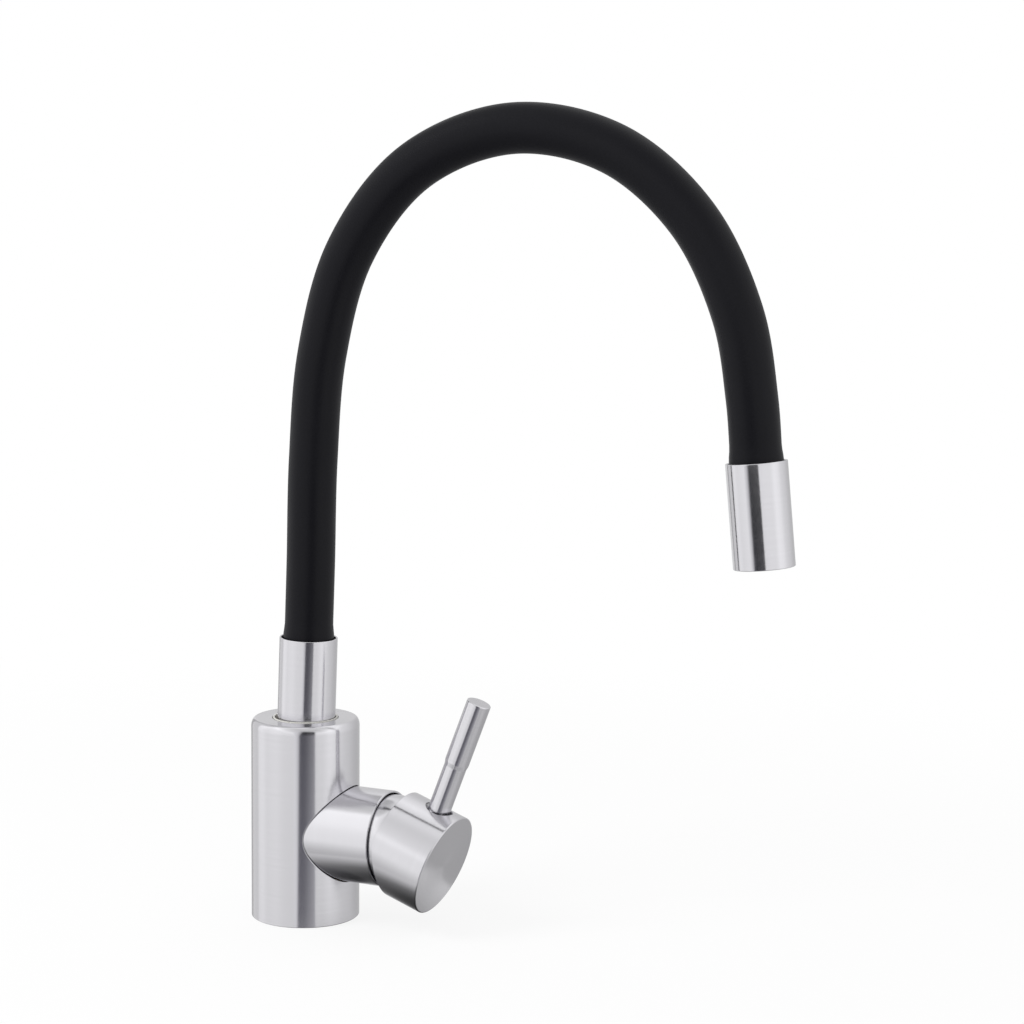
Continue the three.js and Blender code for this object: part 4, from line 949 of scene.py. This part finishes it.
def finished(tree, fine, broad, colour, tone, roughness, strength, depth, **more):
    """The shader of a finish: fine noise moves its tone and height, broad noise its roughness.

    The tone and the roughness are (low, high) pairs, and the depth is in millimetres."""
    tones = add(tree, "ShaderNodeMapRange", Value=fine.outputs["Fac"], From_Min=NOISE_LOW,
                From_Max=NOISE_HIGH, To_Min=tone[0], To_Max=tone[1])
    tint = add(tree, "ShaderNodeVectorMath", {"operation": "SCALE"}, in_0=linear(colour)[:3],
               Scale=tones.outputs[0])
    rough = add(tree, "ShaderNodeMapRange", Value=broad.outputs["Fac"], From_Min=NOISE_LOW,
                From_Max=NOISE_HIGH, To_Min=roughness[0], To_Max=roughness[1])
    bump = add(tree, "ShaderNodeBump", Height=fine.outputs["Fac"], Strength=strength,
               Distance=depth * MM)
    shader = add(tree, "ShaderNodeBsdfPrincipled", Base_Color=tint.outputs[0],
                 Roughness=rough.outputs[0], Normal=bump.outputs[0], **more)
    add(tree, "ShaderNodeOutputMaterial", Surface=shader.outputs[0])


def dress(material, *objects):
    """Gives a finish to pieces or CAD nodes."""
    for piece in objects:
        piece.data.materials.clear()
        piece.data.materials.append(material)


# %% [markdown]
# ## Brushed stainless steel
#
# The body, the branch, the handle and both sleeves are stainless steel tube, turned and then
# brushed with a fine abrasive while they spin. The scratches run round each piece, so they
# blur a reflection along the axis and leave it sharp round it: lamps and gaps of the studio
# become clear bands along every tube. An anisotropic shader whose tangent follows the UV map
# does that. Its noise is stretched round the piece, because each scratch is long and thin.

# %% Brushed stainless steel
SCRATCH_WIDTH = 0.35        # a real one is a tenth of this, too fine to show in the render
SCRATCH_LENGTH = 30
SCRATCH_DEPTH, SCRATCH_STRENGTH = 0.0008, 1.0
SCRATCH_DETAIL = 2.0                # finer layers of the noise
PASS_WIDTH, PASS_LENGTH = 4, 150    # one pass of the pad, where the finish changes a little
STEEL = "#D6D5D9"
STEEL_TONE = (0.98, 1.015)          # the colour times this, from scratch to scratch
STEEL_ROUGHNESS = (0.177, 0.197)    # from pass to pass
STEEL_STRETCH = 0.8


def brushed_stainless_steel():
    """Satin steel: sharp bands along the tube, and fine lines round it with a soft sparkle."""
    material, tree = new_finish("brushed_stainless_steel")
    uv = add(tree, "ShaderNodeUVMap", {"uv_map": "UVMap"})
    lines, passes = (
        add(tree, "ShaderNodeTexNoise", Scale=1.0, Detail=SCRATCH_DETAIL, Vector=add(
            tree, "ShaderNodeVectorMath", {"operation": "MULTIPLY"}, in_0=uv.outputs[0],
            in_1=(1 / (width * MM), 1 / (length * MM), 0)).outputs[0])
        for width, length in ((SCRATCH_WIDTH, SCRATCH_LENGTH), (PASS_WIDTH, PASS_LENGTH)))
    tangent = add(tree, "ShaderNodeTangent", {"direction_type": "UV_MAP", "uv_map": "UVMap"})
    finished(tree, lines, passes, STEEL, STEEL_TONE, STEEL_ROUGHNESS, SCRATCH_STRENGTH,
             SCRATCH_DEPTH, Metallic=1.0, Anisotropic=STEEL_STRETCH, Tangent=tangent.outputs[0])
    return material


satin_steel = brushed_stainless_steel()
dress(satin_steel, body, branch, neck, nozzle, cap, head, lever)
print("steel on", satin_steel.users, "pieces")

# %% [markdown]
# ## Silicone
#
# The hose is extruded silicone rubber, black right through. It reflects little, and its soft
# surface spreads what it reflects, so it shows one broad dim sheen. Fine noise gives the skin
# its slight tooth, and slow noise the patches where hands have polished it.

# %% Extruded black silicone
SILICONE = "#0E0E13"
SILICONE_TONE = (0.85, 1.15)
SILICONE_ROUGHNESS = (0.38, 0.46)
SILICONE_IOR = 1.41
SILICONE_MIRROR = 0.2       # of the usual 0.5: its soft surface takes up much of the light
TOOTH_SIZE, TOOTH_DEPTH, TOOTH_STRENGTH = 0.8, 0.02, 0.4
TOOTH_DETAIL = 2.0
PATCH_SIZE, PATCH_DETAIL = 25, 3.0


def extruded_silicone():
    """Silicone rubber, near black with a soft sheen."""
    material, tree = new_finish("extruded_black_silicone")
    where = add(tree, "ShaderNodeTexCoord")
    tooth = add(tree, "ShaderNodeTexNoise", Vector=where.outputs["Object"],
                Scale=1 / (TOOTH_SIZE * MM), Detail=TOOTH_DETAIL)
    patches = add(tree, "ShaderNodeTexNoise", Vector=where.outputs["Object"],
                  Scale=1 / (PATCH_SIZE * MM), Detail=PATCH_DETAIL)
    finished(tree, tooth, patches, SILICONE, SILICONE_TONE, SILICONE_ROUGHNESS, TOOTH_STRENGTH,
             TOOTH_DEPTH, IOR=SILICONE_IOR, Specular_IOR_Level=SILICONE_MIRROR)
    return material


black_silicone = extruded_silicone()
dress(black_silicone, *hose)
print("silicone on", black_silicone.users, "pieces")

# %% [markdown]
# ## Finishes of the pieces inside
#
# Cast and turned brass, machined steel, moulded plastics, rubber and ceramic are seen only
# from below or when the faucet is taken apart. Each has one grain of its own real size, which
# moves its colour, its roughness and its height together.

# %% Grained finishes
ROUGHNESS_SPREAD = 0.05     # to each side
GRAIN_STRENGTH, GRAIN_DETAIL = 0.5, 4.0


def grained(name, colour, metallic, roughness, grain, depth, contrast=0.06):
    """A finish whose colour, roughness and height follow one noise of a real grain size."""
    material, tree = new_finish(name)
    where = add(tree, "ShaderNodeTexCoord")
    noise = add(tree, "ShaderNodeTexNoise", Vector=where.outputs["Object"],
                Scale=1 / (grain * MM), Detail=GRAIN_DETAIL)
    finished(tree, noise, noise, colour, (1 - contrast, 1 + contrast),
             (roughness - ROUGHNESS_SPREAD, roughness + ROUGHNESS_SPREAD), GRAIN_STRENGTH, depth,
             Metallic=metallic)
    return material


# name, colour, metallic, roughness, grain and its depth in millimetres, change of tone
finishes = {
    "satin_steel": satin_steel,
    "silicone": black_silicone,
    # turned steel: dull grey with tool marks
    "plain_steel": grained("turned_steel", "#A9A9AB", 1.0, 0.36, 0.8, 0.01),
    # cast brass: warm yellow, tarnished in patches
    "brass": grained("cast_brass", "#C2A164", 1.0, 0.36, 2.5, 0.03, 0.12),
    # moulded rubber: black and dusty
    "rubber": grained("moulded_epdm_rubber", "#1C1C1D", 0.0, 0.68, 0.5, 0.02, 0.15),
    # moulded acetal: milky white with a waxy gloss
    "white_plastic": grained("moulded_acetal", "#E4E3DD", 0.0, 0.38, 1.5, 0.01, 0.02),
    # moulded nylon: dark grey and matte
    "black_plastic": grained("moulded_black_nylon", "#222225", 0.0, 0.5, 0.6, 0.02, 0.1),
    # ground alumina: cream white, smooth as glass
    "ceramic": grained("ground_alumina", "#EEEBE2", 0.0, 0.12, 3.0, 0.002, 0.02),
}
dress(finishes["white_plastic"], glide_ring)
dress(finishes["brass"], aerator)
dress(finishes["plain_steel"], screen)
for row in frame["record"]["subparts"]:
    dress(finishes[row["material_slot"]], nodes[row["node"]])
print("finishes:", ", ".join(sorted(finishes)))

# %% [markdown]
# ## The camera
#
# The camera stands where a fit to the photograph puts it, a good metre away. A constraint could
# aim it at the faucet, but the fit gives its angles, so its three axes are worked out from them.

# %% The camera
CAMERA_PLACE = (460.324, -946.914, 312.060)     # millimetres
CAMERA_AZIMUTH, CAMERA_PITCH, CAMERA_ROLL = 20.7775, 6.684, 0.5676      # degrees
LENS, SENSOR = 81.18, 36

azimuth, pitch, roll = (math.radians(v) for v in (CAMERA_AZIMUTH, CAMERA_PITCH, CAMERA_ROLL))
right = Vector((math.cos(azimuth), math.sin(azimuth), 0))
back = Vector((math.sin(azimuth) * math.cos(pitch), -math.cos(azimuth) * math.cos(pitch),
               math.sin(pitch)))
up = back.cross(right)
rolled_right = right * math.cos(roll) + up * math.sin(roll)
rolled_up = up * math.cos(roll) - right * math.sin(roll)
camera_data = bpy.data.cameras.new("camera")
camera_data.lens, camera_data.sensor_width = LENS, SENSOR
camera = bpy.data.objects.new("camera", camera_data)
matrix = Matrix((rolled_right, rolled_up, back)).transposed().to_4x4()
matrix.translation = Vector(CAMERA_PLACE) * MM
camera.matrix_world = matrix
scene.collection.objects.link(camera)
scene.camera = camera
print("camera at", matrix.translation)

# %% [markdown]
# ## The studio, as metal shows it
#
# The faucet stands in a white light tent, and curved steel shows nearly all of it. The tent
# could be built of sheets, but its light changes slowly, so the world does it: five ramps, each
# along one way, are multiplied. Three follow the axes, and make the tent dimmer behind and
# below. Two look to the ceiling, at a grey panel on the left and a dimmer end on the right.
# Only mirrored rays meet this studio. Matte surfaces get an even light, and the camera white.

# %% The studio's ramps
ROOM_LIGHT = 0.75           # of the world on matte surfaces, where 1 is white
METAL_LIGHT = 1.2           # of the studio that metal shows
CEILING_PANEL = (-0.55, 0.2, 0.81)
CEILING_SHADE = (0.3, -0.45, 0.84)
# A way, the cosine to it where its ramp starts, and (place, grey) stops up to straight along it
STUDIO = [
    ((0, 1, 0), -1.0, [
        (0, 0.87), (0.27, 0.9), (0.4, 1.05), (0.54, 1), (0.66, 0.85), (0.84, 0.72), (1, 0.52)]),
    ((1, 0, 0), -1.0, [(0, 0.92), (0.1, 1.04), (0.2, 1.08), (0.34, 1.01), (0.7, 0.97), (1, 0.95)]),
    ((0, 0, 1), -1.0, [
        (0, 0.3), (0.25, 0.62), (0.42, 0.98), (0.55, 1), (0.75, 1.05), (0.9, 1.18), (1, 1.2)]),
    (CEILING_PANEL, 0.0, [(0, 1), (0.86, 1), (0.9, 0.52), (1, 0.45)]),
    (CEILING_SHADE, 0.0, [(0, 1), (0.45, 1), (0.6, 1.14), (0.75, 0.88), (0.95, 0.62)]),
]
WHITE = (1, 1, 1, 1)


def greys(ramp, stops):
    """Gives a Color Ramp node its (place, grey) stops, and returns its colour."""
    elements = ramp.color_ramp.elements
    for at, _ in stops[1:-1]:
        elements.new(at)
    for element, (at, grey) in zip(elements, stops):
        element.position, element.color = at, (grey, grey, grey, 1)
    return ramp.outputs["Color"]


print("ramps:", len(STUDIO), "with", sum(len(stops) for _, _, stops in STUDIO), "stops")

# %% The world
scene.view_settings.view_transform = "Standard"
world = bpy.data.worlds.new("studio")
scene.world = world
world.use_nodes = True
tree = world.node_tree
tree.nodes.clear()
direction = add(tree, "ShaderNodeTexCoord").outputs["Generated"]
studio = (1, 1, 1)
for way, start_cosine, stops in STUDIO:
    cosine = add(tree, "ShaderNodeVectorMath", {"operation": "DOT_PRODUCT"}, in_0=direction,
                 in_1=way)
    share = add(tree, "ShaderNodeMapRange", Value=cosine.outputs["Value"], From_Min=start_cosine,
                From_Max=1.0)
    grey = greys(add(tree, "ShaderNodeValToRGB", Fac=share.outputs[0]), stops)
    studio = add(tree, "ShaderNodeVectorMath", {"operation": "MULTIPLY"}, in_0=studio,
                 in_1=grey).outputs[0]
path = add(tree, "ShaderNodeLightPath")
metal_sees = add(tree, "ShaderNodeBackground", Color=studio, Strength=METAL_LIGHT)
white = add(tree, "ShaderNodeBackground", Color=WHITE, Strength=1.0)
room = add(tree, "ShaderNodeBackground", Color=WHITE, Strength=ROOM_LIGHT)
lit = add(tree, "ShaderNodeMixShader", Fac=path.outputs["Is Glossy Ray"],
          in_1=room.outputs[0], in_2=metal_sees.outputs[0])
shown = add(tree, "ShaderNodeMixShader", Fac=path.outputs["Is Camera Ray"],
            in_1=lit.outputs[0], in_2=white.outputs[0])
add(tree, "ShaderNodeOutputWorld", Surface=shown.outputs[0])
print("world:", len(tree.nodes), "nodes")

# %% [markdown]
# ## The floor
#
# The floor is white and has no horizon, only the faucet's soft shadow. A matte sheet alone would
# be grey at its far edge. This one mixes a matte finish with plain white light, and farther
# from the faucet it is all light, so that it melts into the white behind.

# %% The floor
FLOOR_HALF = 6              # metres, as all sizes of the stage
SHADE_END, WHITE_START = 0.25, 0.7      # distances from the faucet
FLOOR_GLOW = 0.85           # the share of plain white light up to SHADE_END
FLOOR_COLOUR = (0.95, 0.95, 0.95, 1)


def sheet(name, corners, finish):
    """A flat stage piece from its corners in metres."""
    mesh = bpy.data.meshes.new(name)
    mesh.from_pydata(corners, [], [tuple(range(len(corners)))])
    piece = bpy.data.objects.new(name, mesh)
    scene.collection.objects.link(piece)
    dress(finish, piece)
    print(name, "has", len(corners), "corners")
    return piece


def white_floor():
    """White, matte enough near the faucet to hold a shadow."""
    material, tree = new_finish("white_floor")
    where = add(tree, "ShaderNodeTexCoord")
    away = add(tree, "ShaderNodeVectorMath", {"operation": "LENGTH"},
               in_0=where.outputs["Object"])
    share = add(tree, "ShaderNodeMapRange", {"interpolation_type": "SMOOTHSTEP"},
                Value=away.outputs["Value"], From_Min=SHADE_END, From_Max=WHITE_START,
                To_Min=FLOOR_GLOW, To_Max=1.0)
    matte = add(tree, "ShaderNodeBsdfDiffuse", Color=FLOOR_COLOUR)
    glow = add(tree, "ShaderNodeEmission", Color=WHITE, Strength=1.0)
    mixed = add(tree, "ShaderNodeMixShader", Fac=share.outputs[0], in_1=matte.outputs[0],
                in_2=glow.outputs[0])
    add(tree, "ShaderNodeOutputMaterial", Surface=mixed.outputs[0])
    return material


floor = sheet("floor", [
    (-FLOOR_HALF, -FLOOR_HALF, 0), (FLOOR_HALF, -FLOOR_HALF, 0),
    (FLOOR_HALF, FLOOR_HALF, 0), (-FLOOR_HALF, FLOOR_HALF, 0),
], white_floor())
floor.visible_glossy = False

# %% [markdown]
# ## The gap of the tent
#
# The tent is open beside the camera, and the steel shows that gap as the dark band down the
# middle of every tube. In the world it would be endlessly far away. The real one is near, and
# its band moves a little from tube to tube, so here it is a glowing sheet that only mirrored
# rays meet. It is bright at its left edge, which gives the band a soft shoulder. Its pattern
# leans to the right, and gets darker from the counter up.

# %% The gap of the tent
GAP_WAY = -0.33             # metres in front of the faucet
GAP_LEFT, GAP_RIGHT = 0.015, 0.335
GAP_LOW, GAP_HIGH = -0.5, 0.26
GAP_LEAN = 0.2              # metres to the right per metre up
GAP_FADE_LOW, GAP_FADE_HIGH = -0.05, 0.18   # between these heights the strength changes
GAP_TINT = (0.001, 0, 0.014)
# (place, value) stops from the left edge to the right
GAP_GREYS = [
    (0, 0.9), (0.09, 0.72), (0.17, 0.55), (0.2, 0.08), (0.45, 0.1), (0.7, 0.17), (1, 0.24),
]
GAP_BELOW = [(0, 1.2), (0.17, 1.4), (0.2, 1.8), (1, 1.8)]       # strength at the low height
GAP_ABOVE = [(0, 0.95), (0.17, 0.7), (0.2, 0.1), (1, 0.1)]      # and at the high one


def only_in_metal(piece):
    """Hides a stage piece from everything but reflections."""
    piece.visible_camera = piece.visible_diffuse = False
    piece.visible_shadow = piece.visible_transmission = False


def tent_gap():
    """Its grey and its strength depend on the way across it, and its strength on the height."""
    material, tree = new_finish("tent_gap")
    where = add(tree, "ShaderNodeTexCoord")
    point = add(tree, "ShaderNodeSeparateXYZ", Vector=where.outputs["Object"])
    across = add(tree, "ShaderNodeMath", {"operation": "MULTIPLY_ADD"},
                 in_0=point.outputs["Z"], in_1=-GAP_LEAN, in_2=point.outputs["X"])
    share = add(tree, "ShaderNodeMapRange", Value=across.outputs[0], From_Min=GAP_LEFT,
                From_Max=GAP_RIGHT)
    grey, below, above = (
        greys(add(tree, "ShaderNodeValToRGB", Fac=share.outputs[0]), stops)
        for stops in (GAP_GREYS, GAP_BELOW, GAP_ABOVE))
    tinted = add(tree, "ShaderNodeVectorMath", {"operation": "ADD"}, in_0=grey, in_1=GAP_TINT)
    fade = add(tree, "ShaderNodeMapRange", Value=point.outputs["Z"], From_Min=GAP_FADE_LOW,
               From_Max=GAP_FADE_HIGH, To_Min=below, To_Max=above)
    glow = add(tree, "ShaderNodeEmission", Color=tinted.outputs[0], Strength=fade.outputs[0])
    add(tree, "ShaderNodeOutputMaterial", Surface=glow.outputs[0])
    return material


only_in_metal(sheet("tent_gap", [
    (GAP_LEFT, GAP_WAY, GAP_LOW), (GAP_RIGHT, GAP_WAY, GAP_LOW),
    (GAP_RIGHT, GAP_WAY, GAP_HIGH), (GAP_LEFT, GAP_WAY, GAP_HIGH),
], tent_gap()))

# %% [markdown]
# ## Two grey panels
#
# Behind the faucet on the left stand two grey panels, and they draw the left edge of the metal
# as a darker line. They are sheets too, because they have clear edges and a place of their own.

# %% The grey panels
PANEL_WAY, PANEL_LOW, PANEL_HIGH = 0.6, -0.3, 0.8       # metres from the faucet, and up
# name, turn from +X in degrees, half width in metres, grey
PANELS = [("back_panel", 141, 0.08, 0.5), ("side_panel", 165, 0.15, 0.8)]

for name, degrees, half_width, grey in PANELS:
    finish, tree = new_finish(name)
    glow = add(tree, "ShaderNodeEmission", Color=(grey, grey, grey, 1), Strength=1.0)
    add(tree, "ShaderNodeOutputMaterial", Surface=glow.outputs[0])
    outwards = np.array([math.cos(math.radians(degrees)), math.sin(math.radians(degrees))])
    across = np.array([-outwards[1], outwards[0]]) * half_width
    left, right = outwards * PANEL_WAY - across, outwards * PANEL_WAY + across
    only_in_metal(sheet(name, [
        (*left, PANEL_LOW), (*right, PANEL_LOW), (*right, PANEL_HIGH), (*left, PANEL_HIGH),
    ], finish))

# %% [markdown]
# ## The dim counter
#
# Metal that faces down shows the counter close under the faucet, which lies in its own shade.
# The floor can't do that, since metal doesn't see it. A disc a little below it shows that shade
# to mirrored rays only: nearly black in the middle, and light at its rim.

# %% The dim counter
UNDER_DEPTH, UNDER_RADIUS = -0.05, 0.14
UNDER_X = 0.045             # below the branch
UNDER_SIDES = 48
UNDER_GREYS = [(0, 0.02), (0.3, 0.06), (0.55, 0.2), (0.75, 0.5), (1, 0.8)]     # middle to rim


def dim_counter():
    """Grey by the distance from the disc's middle."""
    material, tree = new_finish("dim_counter")
    where = add(tree, "ShaderNodeTexCoord")
    offset = add(tree, "ShaderNodeVectorMath", {"operation": "SUBTRACT"},
                 in_0=where.outputs["Object"], in_1=(UNDER_X, 0, UNDER_DEPTH))
    away = add(tree, "ShaderNodeVectorMath", {"operation": "LENGTH"}, in_0=offset.outputs[0])
    share = add(tree, "ShaderNodeMapRange", Value=away.outputs["Value"], From_Min=0.0,
                From_Max=UNDER_RADIUS)
    grey = greys(add(tree, "ShaderNodeValToRGB", Fac=share.outputs[0]), UNDER_GREYS)
    glow = add(tree, "ShaderNodeEmission", Color=grey, Strength=1.0)
    add(tree, "ShaderNodeOutputMaterial", Surface=glow.outputs[0])
    return material


only_in_metal(sheet("dim_counter", [
    (UNDER_X + UNDER_RADIUS * math.cos(a), UNDER_RADIUS * math.sin(a), UNDER_DEPTH)
    for a in np.linspace(0, 2 * math.pi, UNDER_SIDES, endpoint=False)
], dim_counter()))

# %% [markdown]
# ## The lamp
#
# One large soft lamp hangs at the upper left, in front. It lights the hose from one side and
# gives the floor its shadow. A sun lamp would draw that shadow too sharp, and an area lamp is
# as soft as it is large. Its mirror image would burn out on the steel, so metal doesn't see it.

# %% The lamp
LAMP_PLACE, LAMP_TARGET = (-0.9, -1.0, 1.4), (0.08, 0, 0.2)
LAMP_SIZE, LAMP_POWER = 0.9, 14

lamp_data = bpy.data.lights.new("soft_lamp", "AREA")
lamp_data.shape, lamp_data.size, lamp_data.energy = "DISK", LAMP_SIZE, LAMP_POWER
lamp = bpy.data.objects.new("soft_lamp", lamp_data)
lamp.location = LAMP_PLACE
aim = Vector(LAMP_TARGET) - Vector(LAMP_PLACE)
lamp.rotation_euler = aim.to_track_quat("-Z", "Y").to_euler()
lamp.visible_glossy = False
scene.collection.objects.link(lamp)
print("lamp", round(aim.length, 2), "m from what it lights")
